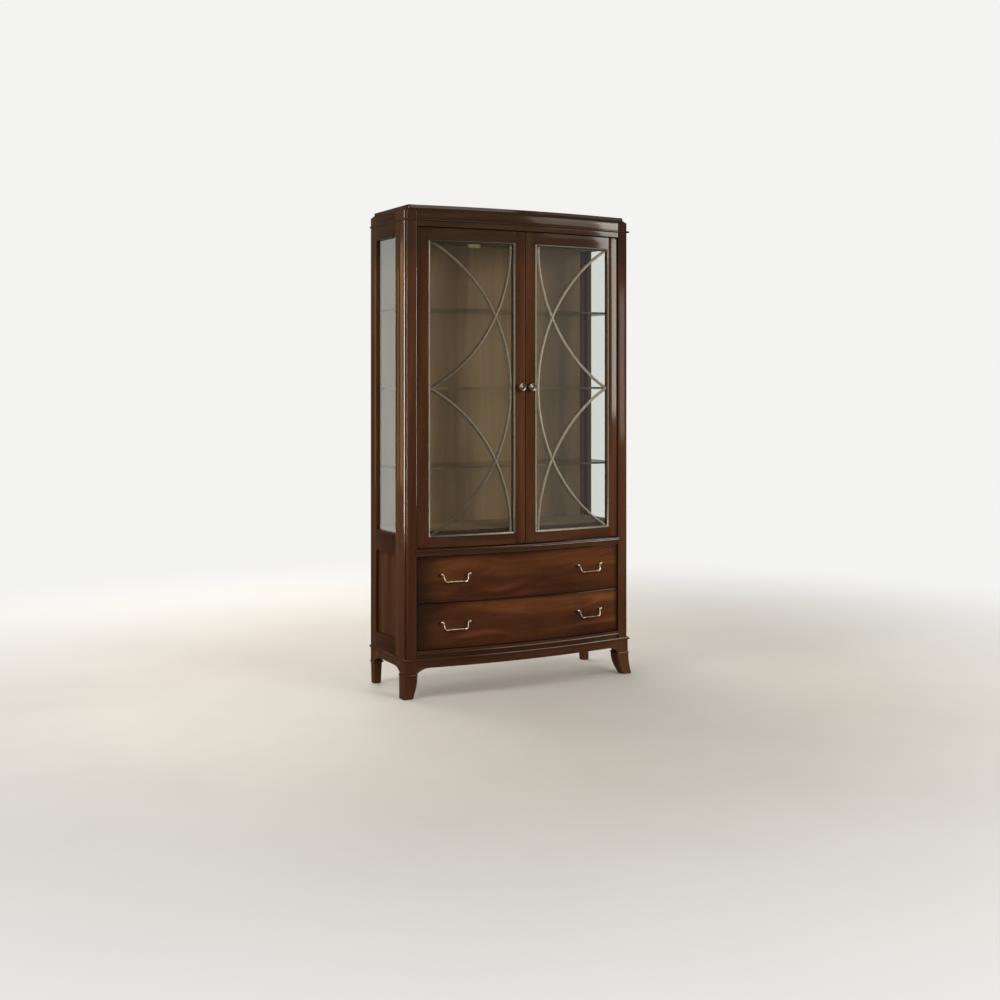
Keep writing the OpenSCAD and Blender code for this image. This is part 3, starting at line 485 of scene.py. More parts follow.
# the rails, side rails and uprights darken towards the cornice as painted shade
wood_x = wood("mahogany_rails", "X", RAILS, shade=cornice_painted_shade)
wood_top_painted_shade = wood("mahogany_top_rails_painted_shade", "X", SHADED_TOP_RAIL)
wood_side_rails_painted_shade = wood("mahogany_side_rails_painted_shade", "Y", SHADED_SIDE_RAIL, shade=cornice_painted_shade)
wood_z = wood("mahogany_uprights", "Z", MAHOGANY, shade=cornice_painted_shade)
panel_wood = wood("mahogany_panels", "Z", DEEP)
drawer_wood = wood("figured_fronts", "X", FIGURED, shade=glaze_and_shade, **FLAMED)
inside_z = wood("inside_upright", "Z", INSIDE, **MATT)
inside_x = wood("inside_boards", "X", INSIDE, **MATT)
deck_wood = wood("display_deck", "X", INSIDE, shade=lipping, **MATT)
champagne = metal("champagne_fret", (0.24, 0.205, 0.15), (0.34, 0.295, 0.22), 0.3)
pewter = metal("pewter_pulls", (0.48, 0.40, 0.31), (0.68, 0.585, 0.47), 0.33)
grip_brass = metal("grip_brass", (0.17, 0.13, 0.085), (0.30, 0.235, 0.16), 0.4)
# the roses are painted nearly black, standing in for the shade round the foot of each pull post
rose_shade_metal = metal("dark_rose_painted_shade", (0.035, 0.028, 0.021), (0.085, 0.070, 0.052), 0.45)
steel = metal("hinge_steel", (0.060, 0.052, 0.043), (0.110, 0.098, 0.082), 0.5)
pane = glass("clear_pane", (0.93, 0.95, 0.93))
shelf_glass = glass("shelf_pane", (0.86, 0.93, 0.88), wave=0.0)
housing = plastic("housing_plastic", 700.0, (0.26, 0.22, 0.15), (0.32, 0.27, 0.19), 0.45)
lens = plastic("frosted_lens", 300.0, (0.34, 0.27, 0.14), (0.42, 0.34, 0.18), 0.5, glow=0.2)

# ---------------------------------------------------------------- posts and legs
LEG_TOP, CAP_Z = POST_LO.z, POST_HI.z
POST_W, POST_D = POST_HI.x - POST_LO.x, POST_HI.y - POST_LO.y
QUIRK_X, QUIRK_Y, BEAD_R, SIDE_R, FACE_R = 8.5 * MM, 12 * MM, 3 * MM, 5.5 * MM, 1.1 * MM


def post_plan():
    """Plan of the left front post, with the bead in the quirk at its outer corner."""
    loop = [(0, POST_D)]
    loop += arc(SIDE_R, QUIRK_Y + SIDE_R, SIDE_R, 180, 270, 12)
    loop += [(QUIRK_X, QUIRK_Y)]
    loop += arc(QUIRK_X, FACE_R, FACE_R, 90, 270, 12)
    loop += arc(POST_W - BEAD_R, BEAD_R, BEAD_R, 270, 360, 6)
    loop += [(POST_W, POST_D)]
    return [(x - HALF_W, y + FRONT_Y) for x, y in loop]


LEG_BEAD_Z, LEG_BEAD_H = 96 * MM, 8 * MM
LEG_BEAD_OUT, LEG_OUT = 5.5 * MM, 2.5 * MM
LEG_UNDER = LEG_BEAD_Z - LEG_BEAD_H / 2


def leg_ring(x, y, z, w, d, r):
    """Level outline of a leg from its outer front corner, with corners rounded by r."""
    return [(a, b, z) for a, b in rounded(x, x + w, y, y + d, r, 5)]


def collar(shape, x, y, w, d):
    """Half-round bead round the top of a leg of width w and depth d."""
    rings = []
    half = LEG_BEAD_H / 2
    for t in range(-90, 91, 15):
        turn = math.radians(t)
        o = LEG_BEAD_OUT - half + half * math.cos(turn)
        level = LEG_BEAD_Z + half * math.sin(turn)
        rings.append(leg_ring(x - o, y - o, level, w + 2 * o, d + 2 * o, 2 * MM + o))
    shape.loft(rings)


def front_leg():
    """Block, collar and sabre of a front leg."""
    lo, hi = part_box("front_leg_left")
    shape = Shape()
    depth = 60 * MM
    back = FRONT_Y + depth
    shape.bar(upright, LEG_BEAD_Z, hi.z, -HALF_W, -POST_IN, FRONT_Y, back, 2.5 * MM)
    collar(shape, -HALF_W, FRONT_Y, POST_W, depth)
    out_x, out_y = -HALF_W - lo.x, FRONT_Y - lo.y
    top_w, top_d = POST_W + 2 * LEG_OUT, depth + 2 * LEG_OUT
    foot_w, foot_d, ease = 42 * MM, 52 * MM, 4 * MM

    def ring(t, z, inset=0.0):
        """Outline of the sabre at t, from 0 under the collar to 1 at the foot."""
        bend = t * t
        w = top_w - (top_w - foot_w) * bend - 2 * inset
        d = top_d - (top_d - foot_d) * bend - 2 * inset
        x = -HALF_W - LEG_OUT - (out_x - LEG_OUT) * bend + inset
        y = FRONT_Y - LEG_OUT - (out_y - LEG_OUT) * bend + inset
        return leg_ring(x, y, z, w, d, ease)

    rings = [ring(k / 24, LEG_UNDER * (1 - k / 24)) for k in range(24)]
    shape.loft([*rings, ring(1.0, 1.5 * MM), ring(1.0, 0.0, 1.5 * MM)])
    return shape


def back_leg():
    """Block, collar and tapered foot of a back leg."""
    lo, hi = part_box("back_post_left")
    w, foot, ease = hi.x - lo.x, 34 * MM, 1.2 * MM
    shape = Shape()
    shape.bar(upright, LEG_BEAD_Z, LEG_TOP, lo.x, hi.x, lo.y, hi.y, 2 * MM)
    collar(shape, lo.x, lo.y, w, w - LEG_BEAD_OUT)
    sides = [(LEG_UNDER, w - MM, 0.0), (ease, foot, 0.0), (0.0, foot - 2 * ease, ease)]
    rings = [leg_ring(lo.x + i, lo.y + MM + i, z, side, side, 4 * MM) for z, side, i in sides]
    shape.loft(rings)
    return shape


post = Shape()
post.prism(upright, post_plan(), spread(LEG_TOP, CAP_Z, 0.5))
rear = Shape()
lo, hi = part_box("back_post_left")
rear.bar(upright, lo.z, hi.z, lo.x, hi.x, lo.y, hi.y, 2 * MM, 0.5)
for side, flip in SIDES:
    fore = {"mirror": flip, "tone": 0.9 if flip else 0.2}
    aft = {"mirror": flip, "tone": fore["tone"] + 0.3}
    piece(f"post_front_{side}", post, wood_z, f"front_post_{side}", **fore)
    piece(f"post_back_{side}", rear, wood_z, f"back_post_{side}", **aft)
    piece(f"leg_front_{side}", front_leg(), wood_z, f"front_leg_{side}", **fore)
    piece(f"leg_back_{side}", back_leg(), wood_z, f"back_leg_{side}", **aft)

# ---------------------------------------------------------------- cap, cornice and beads
RAIL_T = 24 * MM
CAP_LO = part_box("top_cap")[0]


def cap_ring(side_set, front_set, z):
    """Outline of the cap at one level, set in from the posts and from the bow."""
    w, y0, r = HALF_W - side_set, FRONT_Y + front_set, 12 * MM
    left = arc(-w + r, y0 + r, r, 180, 270, 8)
    front = [(x, bow_y(x, front_set)) for x in spread(-POST_IN, POST_IN, STEP)]
    right = arc(w - r, y0 + r, r, 270, 360, 8)
    return [(x, y, z) for x, y in [(-w, BACK_Y), *left, *front, *right, (w, BACK_Y)]]


# mm that the cap is set in at the sides and in front, and height over its underside
SLOPE = [(1, 1, 0), (0.4, 0.4, 0.6), (1.0, 0.8, 1.6), (4.5, 2.9, 3.6), (8.5, 5.2, 6.6)]
SLOPE += [(12, 7.2, 9.9), (13.4, 7.9, 11.4), (15, 8.8, 12.4), (17.4, 9.8, 12.8)]
SLOPE += [(18, 10.1, 13.6), (18, 10.1, 24), (18.6, 10.6, 25.4), (20, 12, 26)]
cap = Shape()
cap.loft([cap_ring(s * MM, f * MM, CAP_LO.z + z * MM) for s, f, z in SLOPE])
piece("cap", cap, wood_top_painted_shade, "top_cap", tone=0.4)


def wrap_path():
    """Plan line round both sides and the bowed front, with outward mitres."""
    line = [(-HALF_W, BACK_Y), (-HALF_W, FRONT_Y)]
    line += [(x, bow_y(x)) for x in spread(-POST_IN, POST_IN, STEP)]
    line += [(HALF_W, FRONT_Y), (HALF_W, BACK_Y)]
    normals = []
    for (x0, y0), (x1, y1) in zip(line, line[1:]):
        length = math.hypot(x1 - x0, y1 - y0)
        normals.append(((y1 - y0) / length, -(x1 - x0) / length))
    # going from back left round the front, outward is to the right of the travel
    mitres = [normals[0]]
    for (ax, ay), (bx, by) in zip(normals, normals[1:]):
        k = 1 + ax * bx + ay * by
        mitres.append(((ax + bx) / k, (ay + by) / k))
    mitres.append(normals[-1])
    return list(zip(line, mitres))


def wrap_bead(node_name, proud, h):
    """Half-round bead of height h round the case, standing out by proud."""
    lo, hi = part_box(node_name)
    mid, back = (lo.z + hi.z) / 2, 2.5 * MM
    section = [(-back, -h / 2)] + arc(proud - h / 2, 0, h / 2, -90, 90, 10) + [(-back, h / 2)]
    shape = Shape()
    rings = []
    for (x, y), (mx, my) in wrap_path():
        rings.append([(x + mx * o, y + my * o, mid + z) for o, z in section])
    shape.loft(rings)
    z0, z1 = mid - h / 2, mid + h / 2
    shape.bar(along_x, -POST_IN, POST_IN, 0.5 * MM, RAIL_T, z0, z1, 0.3 * MM, STEP)
    return shape


cornice_bead = wrap_bead("cornice_bead", 5 * MM, 8 * MM)
piece("bead_cornice", cornice_bead, wood_top_painted_shade, "cornice_bead", tone=0.5)
base_bead = wrap_bead("base_bead", 6 * MM, 10 * MM)
piece("bead_base", base_bead, wood_x, "base_bead", tone=0.6)

band = Shape()
lo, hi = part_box("cornice_band")
fillet = lo.z + 8 * MM
band.bar(along_x, -POST_IN, POST_IN, 0, RAIL_T, fillet, hi.z, 0.5 * MM, STEP)
band.bar(along_x, -POST_IN, POST_IN, 3 * MM, RAIL_T, lo.z, fillet, 0.5 * MM, STEP)
piece("band_cornice", band, wood_top_painted_shade, "cornice_band", tone=0.35)
rail = Shape()
lo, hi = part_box("top_rail")
rail.bar(along_x, -POST_IN, POST_IN, 0, RAIL_T, lo.z, hi.z, EASE, STEP)
piece("rail_top", rail, wood_top_painted_shade, "top_rail", tone=0.7)


def bowed_moulding(section):
    """Moulding between the posts; section is (distance out of the bow, z)."""
    shape = Shape()
    shape.prism(lambda u, a, b: along_x(u, -a, b), section, spread(-POST_IN, POST_IN, STEP))
    return shape


def waist_rail():
    """Bead and cove over a flat rail, with a short return of the mouldings on each post."""
    lo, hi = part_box("waist_rail")
    top, face, cove = hi.z, 2 * MM, 9 * MM
    cove_z = top - 19 * MM
    section = [(-RAIL_T, lo.z), (face, lo.z), (face, cove_z)]
    for degrees in (180, 165, 150, 135, 120, 108, 100):
        a = math.radians(degrees)
        section.append((face + cove + cove * math.cos(a), cove_z + cove * math.sin(a)))
    section += arc(6.5 * MM, top - 5 * MM, 4 * MM, -60, 90, 9)
    section += [(0, top - 0.8 * MM), (-0.5 * MM, top), (-RAIL_T, top)]
    shape = bowed_moulding(section)
    outer = [(o, z) for o, z in section if o > 1.9 * MM]
    stub = [(0.2 * MM, lo.z), *outer, (0.2 * MM, top - MM)]
    for s in (-1, 1):
        ends = [s * POST_IN, s * (POST_IN + 4.5 * MM)]
        shape.prism(lambda u, a, b: (u, FRONT_Y - a, b), stub, ends)
    return shape


def bottom_rail():
    """Nosing over a stepped fascia."""
    lo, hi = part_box("bottom_rail")
    top, mid, nose, fascia = hi.z, hi.z - 13 * MM, 4.5 * MM, -9 * MM
    section = [(-RAIL_T, lo.z), (fascia, lo.z), (fascia, mid - nose)]
    section += arc(0, mid, nose, -90, 90, 12)
    section += [(-2 * MM, mid + nose), (-2 * MM, top - MM), (-3 * MM, top), (-RAIL_T, top)]
    return bowed_moulding(section)


piece("rail_waist", waist_rail(), wood_x, "waist_rail", tone=0.15)
piece("rail_bottom", bottom_rail(), wood_x, "bottom_rail", tone=0.8)
dress(wood_x, "front_apron", "side_and_back_aprons")

# ---------------------------------------------------------------- side frames
FRAME_LO, FRAME_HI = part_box("side_frame_left")
LIP, REBATE, LAP = 10 * MM, 8 * MM, 0.5 * MM
STILE_FRONT, STILE_BACK = 52 * MM, 24 * MM
LIGHT_Y0, LIGHT_Y1 = FRAME_LO.y + STILE_FRONT, FRAME_HI.y - STILE_BACK
PANEL_LO, PANEL_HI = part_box("side_panel_left")
GLASS_LO, GLASS_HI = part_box("side_glass_left")
REACH = LIGHT_Y0 - GLASS_LO.y


def side_frame():
    """Stiles and rails with the stops behind the panes."""
    out, lip, back = FRAME_LO.x, FRAME_LO.x + LIP, FRAME_HI.x
    bottom, top = FRAME_LO.z, FRAME_HI.z
    uprights, rails = Shape(), Shape()
    # each stile is a face with a narrower back, which leaves the rebate
    for y0, y1, back0, back1 in (
        (FRAME_LO.y, LIGHT_Y0, FRAME_LO.y, LIGHT_Y0 - REBATE),
        (LIGHT_Y1, FRAME_HI.y, LIGHT_Y1 + REBATE, FRAME_HI.y),
    ):
        uprights.bar(upright, bottom, top, out, lip, y0, y1, MM, 0.5)
        uprights.bar(upright, bottom, top, lip - LAP, back, back0, back1, MM, 0.5)
    low_light = (PANEL_LO.z + REACH, PANEL_HI.z - REACH)
    high_light = (GLASS_LO.z + REACH, GLASS_HI.z - REACH)
    rebate0, rebate1 = LIGHT_Y0 - REBATE, LIGHT_Y1 + REBATE
    for z0, z1 in (
        (bottom - REBATE, low_light[0]),
        (low_light[1], high_light[0]),
        (high_light[1], top + REBATE),
    ):
        face0, face1 = max(z0, bottom), min(z1, top)
        back0, back1 = z0 + REBATE, z1 - REBATE
        rails.bar(along_y, LIGHT_Y0, LIGHT_Y1, out, lip, face0, face1, MM)
        rails.bar(along_y, rebate0, rebate1, lip - LAP, back, back0, back1, MM)
    for (z0, z1), pane_back in ((low_light, PANEL_HI.x), (high_light, GLASS_HI.x)):
        stop = pane_back + 0.15 * MM
        for y0, y1 in ((rebate0, LIGHT_Y0), (LIGHT_Y1, rebate1)):
            uprights.bar(upright, z0 - REBATE, z1 + REBATE, stop, back, y0, y1, MM)
        for stop0, stop1 in ((z0 - REBATE, z0), (z1, z1 + REBATE)):
            rails.bar(along_y, LIGHT_Y0, LIGHT_Y1, stop, back, stop0, stop1, MM)
    return uprights, rails


uprights, rails = side_frame()
for side, flip in SIDES:
    like = {"mirror": flip, "tone": 0.65 if flip else 0.05}
    piece(f"side_stiles_{side}", uprights, wood_z, f"side_frame_{side}", **like)
    piece(f"side_rails_{side}", rails, wood_side_rails_painted_shade, f"side_frame_{side}", **like)
    dress(panel_wood, f"side_panel_{side}")
    dress(pane, f"side_glass_{side}")

# ---------------------------------------------------------------- inside of the case
dress(inside_x, "ceiling_panel", "case_bottom", "drawer_runners")
dress(deck_wood, "display_deck")
dress(inside_z, "back_panel_upper")
# the lower back panel reaches down to the top of the back apron
lo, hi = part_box("back_panel_lower")
apron_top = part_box("base_bead")[0].z + 0.2 * MM
sheet = Shape()
sheet.bar(upright, apron_top, hi.z, lo.x, hi.x, lo.y, hi.y, 0.5 * MM, 0.1)
piece("back_sheet_lower", sheet, inside_z, "back_panel_lower")
dress(shelf_glass, "shelf_upper", "shelf_middle", "shelf_lower")
dress(steel, "shelf_pins", "case_pivots", "left_hinge_leaves", "right_hinge_leaves")
dress(housing, "light_housings")
dress(lens, "light_lenses")

# ---------------------------------------------------------------- doors
HINGE_LO, HINGE_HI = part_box("left_hinge_stile")
LOCK_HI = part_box("left_lock_stile")[1]
FRET_LO, FRET_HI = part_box("left_fretwork")
DOOR_T, LIP_D, BEAD_W = 22 * MM, 16 * MM, 9.5 * MM
SIGHT_X0, SIGHT_X1 = FRET_LO.x + BEAD_W, FRET_HI.x - BEAD_W
SIGHT_Z0, SIGHT_Z1 = FRET_LO.z + BEAD_W, FRET_HI.z - BEAD_W


def stile(x0, x1, lip0, lip1):
    """Bowed stile and, behind the glass, its lip."""
    shape = Shape()
    d0, d1 = DOOR_D, DOOR_D + LIP_D
    shape.bar(bow_upright, HINGE_LO.z, HINGE_HI.z, x0, x1, d0, d1 + MM, 0.6 * MM, 0.4)
    shape.bar(bow_upright, HINGE_LO.z, HINGE_HI.z, lip0, lip1, d1, DOOR_D + DOOR_T, MM, 0.4)
    return shape


def door_rails():
    """Top and bottom rail with their lips."""
    shape = Shape()
    d0, d1 = DOOR_D, DOOR_D + LIP_D
    for z0, z1, lip0, lip1 in (
        (HINGE_LO.z, FRET_LO.z, HINGE_LO.z, SIGHT_Z0),
        (FRET_HI.z, HINGE_HI.z, SIGHT_Z1, HINGE_HI.z),
    ):
        shape.bar(along_x, FRET_LO.x, FRET_HI.x, d0, d1 + MM, z0, z1, 0.8 * MM, STEP)
        shape.bar(along_x, SIGHT_X0, SIGHT_X1, d1, DOOR_D + DOOR_T, lip0, lip1, MM, STEP)
    return shape


FRET_R, FRET_IN, FRET_LAP = 712 * MM, 10 * MM, 4 * MM
GLASS_D = DOOR_D + 12 * MM
# mm inwards from the edge of the bead frame, and depth behind the face of the door
FRET_BEAD = [(0, 12), (0, 0.2), (0.2, -0.8), (0.8, -1.4), (1.6, -1.5), (2.3, -1.2), (2.8, -0.6)]
FRET_BEAD += [(3.4, -0.1), (6.0, 1.0), (8.0, 2.2), (8.9, 3.4), (9.4, 6.0), (9.5, 12)]
# half width and height over the glass of a fretwork bar, in mm
HALF_BAR = [(6.5, 0), (6.5, 3.0), (6.2, 3.8), (5.4, 4.2), (3.9, 4.2), (3.5, 3.5), (3.0, 3.6)]
HALF_BAR += [(2.7, 4.9), (2.0, 5.9), (1.0, 6.4)]
BAR = HALF_BAR + [(0, 6.5)] + [(-w, h) for w, h in reversed(HALF_BAR)]


def fret_frame(shape):
    """Bead frame round the glass, with mitred corners."""
    xs, zs = spread(FRET_LO.x, FRET_HI.x, STEP), spread(FRET_LO.z, FRET_HI.z, 0.2)
    path = [(x, FRET_LO.z, 0, 1) for x in xs[1:-1]] + [(FRET_HI.x, FRET_LO.z, -1, 1)]
    path += [(FRET_HI.x, z, -1, 0) for z in zs[1:-1]] + [(FRET_HI.x, FRET_HI.z, -1, -1)]
    path += [(x, FRET_HI.z, 0, -1) for x in reversed(xs[1:-1])] + [(FRET_LO.x, FRET_HI.z, 1, -1)]
    path += [(FRET_LO.x, z, 1, 0) for z in reversed(zs[1:-1])] + [(FRET_LO.x, FRET_LO.z, 1, 1)]
    rings = []
    for x, z, mitre_x, mitre_z in path:
        ring = []
        for o, d in FRET_BEAD:
            px = x + mitre_x * o * MM
            ring.append((px, bow_y(px, DOOR_D + d * MM), z + mitre_z * o * MM))
        rings.append(ring)
    shape.loft(rings, closed=True)


def fret_arcs(shape):
    """Three arcs about centres on one upright line, cut off at the bead frame."""
    cx = SIGHT_X1 - FRET_IN - FRET_R
    bottom, top = SIGHT_Z0 - FRET_LAP, SIGHT_Z1 + FRET_LAP
    reach_x = math.acos((SIGHT_X0 - FRET_LAP - cx) / FRET_R)
    for zc in (bottom, (SIGHT_Z0 + SIGHT_Z1) / 2, top):
        end = min(reach_x, math.asin(min(1.0, (top - zc) / FRET_R)))
        start = -min(reach_x, math.asin(min(1.0, (zc - bottom) / FRET_R)))
        rings = []
        for t in spread(start, end, STEP / FRET_R):
            ring = []
            for w, h in BAR:
                r = FRET_R + w * MM
                x, z = cx + r * math.cos(t), zc + r * math.sin(t)
                ring.append((x, bow_y(x, GLASS_D - h * MM), z))
            rings.append(ring)
        shape.loft(rings)


def fretwork():
    """Bead frame and crossing arcs of a door."""
    shape = Shape()
    fret_frame(shape)
    fret_arcs(shape)
    return shape


# radius and length of the turned knob in mm, from the door to its dished face
KNOB = [(0, 0), (11, 0), (11.2, 1.2), (10.4, 2.5), (8.2, 3.1), (6.4, 4.2), (5.4, 7), (5.3, 11)]
KNOB += [(6.6, 14), (10, 16.2), (14.5, 17.2), (17.4, 18.6), (18.4, 20.4), (18.5, 22.4)]
KNOB += [(17.9, 24.4), (16.7, 26), (15.4, 26.9), (14.2, 27), (13.2, 26.4), (12.6, 25.2)]
KNOB += [(11.4, 24.1), (9.4, 23.7), (8.2, 24.2), (7.6, 25.4), (6.8, 26.5), (5.2, 26.9), (0, 27)]


def knob():
    """Turned knob with a dished, ringed face."""
    lo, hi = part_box("left_knob")
    x0, z0, base = (lo.x + hi.x) / 2, (lo.z + hi.z) / 2, hi.y
    shape = Shape()
    shape.lathe(lambda x, out, z: (x0 + x * MM, base - out * MM, z0 + z * MM), KNOB, 64)
    return shape


hinge = stile(HINGE_LO.x, FRET_LO.x, HINGE_LO.x, SIGHT_X0)
lock = stile(FRET_HI.x, LOCK_HI.x, SIGHT_X1, LOCK_HI.x)
for side, flip in SIDES:
    tone = 0.55 if flip else 0.0
    like = {"mirror": flip}
    piece(f"door_hinge_stile_{side}", hinge, wood_z, f"{side}_hinge_stile", tone=tone, **like)
    piece(f"door_lock_stile_{side}", lock, wood_z, f"{side}_lock_stile", tone=tone + 0.2, **like)
    piece(f"door_rails_{side}", door_rails(), wood_x, f"{side}_door_rails", tone=tone + 0.1, **like)
    piece(f"door_fret_{side}", fretwork(), champagne, f"{side}_fretwork", sharp=50, **like)
    piece(f"door_knob_{side}", knob(), pewter, f"{side}_knob", sharp=40, **like)
    dress(pane, f"{side}_door_glass")

# ---------------------------------------------------------------- drawers and pulls
PULL_X = 332 * MM
DOOR_R = BOW_R - DOOR_D
# in a pull's own mm: from post to post, and from the face to the pivot of its bail
PULL_CC, PULL_OUT = 127, 14


def at_pull(side, z):
    """Carries a pull's own mm (x along the face, out of it, up) to the drawer front."""
    turn = side * math.asin(PULL_X / DOOR_R)
    cos, sin = math.cos(turn), math.sin(turn)
    ox, oy = DOOR_R * sin, BOW_CY - DOOR_R * cos

    def place(x, out, up):
        x, y = x * MM, -out * MM
        return (ox + x * cos - y * sin, oy + x * sin + y * cos, z + up * MM)

    return place


def between(a, b, c, d, t):
    """Catmull-Rom value at t between b and c."""
    square = (2 * a - 5 * b + 4 * c - d) * t * t
    cube = (3 * b - a - 3 * c + d) * t**3
    return 0.5 * (2 * b + (c - a) * t + square + cube)


def smooth_line(points):
    """Smooth curve through points of any dimension, four steps from one to the next."""
    ends = [points[0], *points, points[-1]]
    line = []
    for four in zip(ends, ends[1:], ends[2:], ends[3:]):
        for t in (0.0, 0.25, 0.5, 0.75):
            line.append([between(*values, t) for values in zip(*four)])
    return [*line, list(points[-1])]


# radius and distance out of the face, in mm
ROSE = [(0, -1.2), (6.8, -1.2), (7.0, 0.3), (6.6, 1.3), (5.4, 2.0), (4.5, 3.0), (3.7, 4.4)]
ROSE += [(3.5, 6.4), (3.7, 8.2), (0, 8.2)]
BALL = [(0, 7.6), (3.6, 7.6), (5.2, 9.4), (6.2, 11.6), (6.5, 14.0), (6.2, 16.2)]
BALL += [(5.2, 18.1), (3.8, 19.2), (1.9, 19.6), (0, 19.6)]
# x along the face, distance in front of the pivot, z and radius of half a bail, in mm
HALF_BAIL = [(61.5, 0, 0, 1.8), (58.6, 0, 0, 1.8), (57.4, 0.1, -0.2, 2.5)]
HALF_BAIL += [(56.2, 0.4, -1.6, 2.9), (55.4, 0.9, -4.6, 2.9), (54.4, 2.2, -10.0, 2.6)]
HALF_BAIL += [(53.2, 4.4, -16.5, 2.6), (51.8, 6.4, -22.5, 2.8), (49.2, 7.7, -27.6, 3.0)]
HALF_BAIL += [(45.2, 8, -30.4, 2.9)]
GRIP_OUT, GRIP_Z = 8, -31
NECK = [(41.4, 2.6), (39.6, 2.7), (39.0, 3.2), (38.4, 4.4), (37.0, 4.5), (36.4, 3.9), (35.6, 3.2)]
HALF_BAIL += [(x, GRIP_OUT, GRIP_Z, r) for x, r in NECK]
GRIP = [(36.4, 3.0), (36.0, 4.0), (34, 4.4), (26, 4.8), (13, 5.0), (0, 5.1)]
HALF_GRIP = [(x, GRIP_OUT, GRIP_Z, r) for x, r in GRIP]
ROD_COUNT = 20


def sweep(shape, line, place):
    """Round rod of changing radius along a line of (x, out, z, radius)."""
    rings = []
    turn = [2 * math.pi * k / ROD_COUNT for k in range(ROD_COUNT)]
    for k, (x, o, z, r) in enumerate(line):
        before, after = line[max(0, k - 1)], line[min(len(line) - 1, k + 1)]
        along = Vector([q - p for p, q in zip(before[:3], after[:3])]).normalized()
        across = along.cross(Vector((0, 1, 0))).normalized()
        third = along.cross(across)
        ring = []
        for t in turn:
            p = Vector((x, o, z)) + (across * math.cos(t) + third * math.sin(t)) * r
            ring.append(place(p.x, PULL_OUT + p.y, p.z))
        rings.append(ring)
    shape.loft(rings)


def bail(place):
    """Drop handle: the two curved legs with their necks, and the grip between them."""
    legs, grip = Shape(), Shape()
    for side in (-1, 1):
        sweep(legs, smooth_line([(side * x, *rest) for x, *rest in HALF_BAIL]), place)
    half = smooth_line(HALF_GRIP)
    sweep(grip, [(-x, *rest) for x, *rest in half] + half[-2::-1], place)
    return legs, grip


for level, tone in (("upper", 0.1), ("lower", 0.75)):
    lo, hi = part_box(f"{level}_drawer_front")
    front = Shape()
    front.bar(along_x, lo.x, hi.x, DOOR_D, DOOR_D + 20 * MM, lo.z, hi.z, 2 * MM, STEP)
    piece(f"drawer_{level}", front, drawer_wood, f"{level}_drawer_front", tone=tone)
    dress(inside_x, f"{level}_drawer_box")
    lo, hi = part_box(f"{level}_pull_posts")
    pull_z = (lo.z + hi.z) / 2
    balls, roses = Shape(), Shape()
    for s, side in ((-1, "left"), (1, "right")):
        place = at_pull(s, pull_z)
        for x in (-PULL_CC / 2, PULL_CC / 2):
            balls.lathe(lambda a, out, b: place(x + a, out, b), BALL, 32)
            roses.lathe(lambda a, out, b: place(x + a, out, b), ROSE, 32)
        legs, grip = bail(place)
        piece(f"pull_legs_{level}_{side}", legs, pewter, f"{level}_{side}_bail", sharp=45)
        piece(f"pull_grip_{level}_{side}", grip, grip_brass, f"{level}_{side}_bail", sharp=45)
    piece(f"pull_balls_{level}", balls, pewter, f"{level}_pull_posts", sharp=45)
    # the roses wear the dark metal that paints shade round the posts
    piece(f"pull_roses_{level}", roses, rose_shade_metal, f"{level}_pull_posts", sharp=45)

# ---------------------------------------------------------------- floor and world
BACK = (0.90, 0.895, 0.88)
DIM = (0.24, 0.235, 0.22)
FLOOR_GLINT = (0.060, 0.057, 0.052)
ROOM_GLINT = (0.055, 0.053, 0.050)
ROOM_FRONT, ROOM_BACK = (0.30, 0.29, 0.275), (0.46, 0.45, 0.43)
BRIGHT_WALL = (2.4, 2.38, 2.32)
# parts of a direction between which the bright wall starts
WALL_FROM, WALL_TO = 0.2, 0.45
FLOOR_HALF = 14.0
FADE_FROM, FADE_TO = 1.4, 4.2


def ray_kinds(nt):
    """Outputs of Light Path, and two flags made of them.

    The first flag is 1 on what is seen straight or through glass, the second on what a pane
    shows in a further reflection.
    """
    path = node(nt, "LightPath").outputs
    through = path["Is Transmission Ray"]
    clear = math_node(nt, "MAXIMUM", path["Is Camera Ray"], through)
    second = math_node(nt, "GREATER_THAN", path["Glossy Depth"], 0.5)
    return path, clear, math_node(nt, "MULTIPLY", second, through)


def floor_material():
    """Pale floor that fades into the background a few metres away from the cabinet."""
    mat, nt, bsdf = new_material("pale_floor")
    coords = object_coords(nt)
    mottle = noise(nt, coords, 1.4, 6.0, 0.6)["Fac"]
    colour = ramp(nt, mottle, [(0.3, (0.595, 0.570, 0.516)), (0.7, (0.635, 0.610, 0.556))])
    feed(nt, bsdf, {"Base Color": colour, "Roughness": 0.55, "Specular IOR Level": 0.3})
    path, clear, second = ray_kinds(nt)
    fade = map_range(nt, length_of(nt, coords), FADE_FROM, FADE_TO, kind="SMOOTHSTEP")
    seen = math_node(nt, "MULTIPLY", fade, clear)
    surface = mix_shader(nt, seen, bsdf.outputs["BSDF"], glowing(nt, BACK))
    # a pane's own second reflection shows a dim room
    surface = mix_shader(nt, second, surface, glowing(nt, DIM))
    glossy, through = path["Is Glossy Ray"], path["Is Transmission Ray"]
    glint = math_node(nt, "SUBTRACT", glossy, through, clamp=True)
    show(nt, mix_shader(nt, glint, surface, glowing(nt, FLOOR_GLINT)))
    return mat


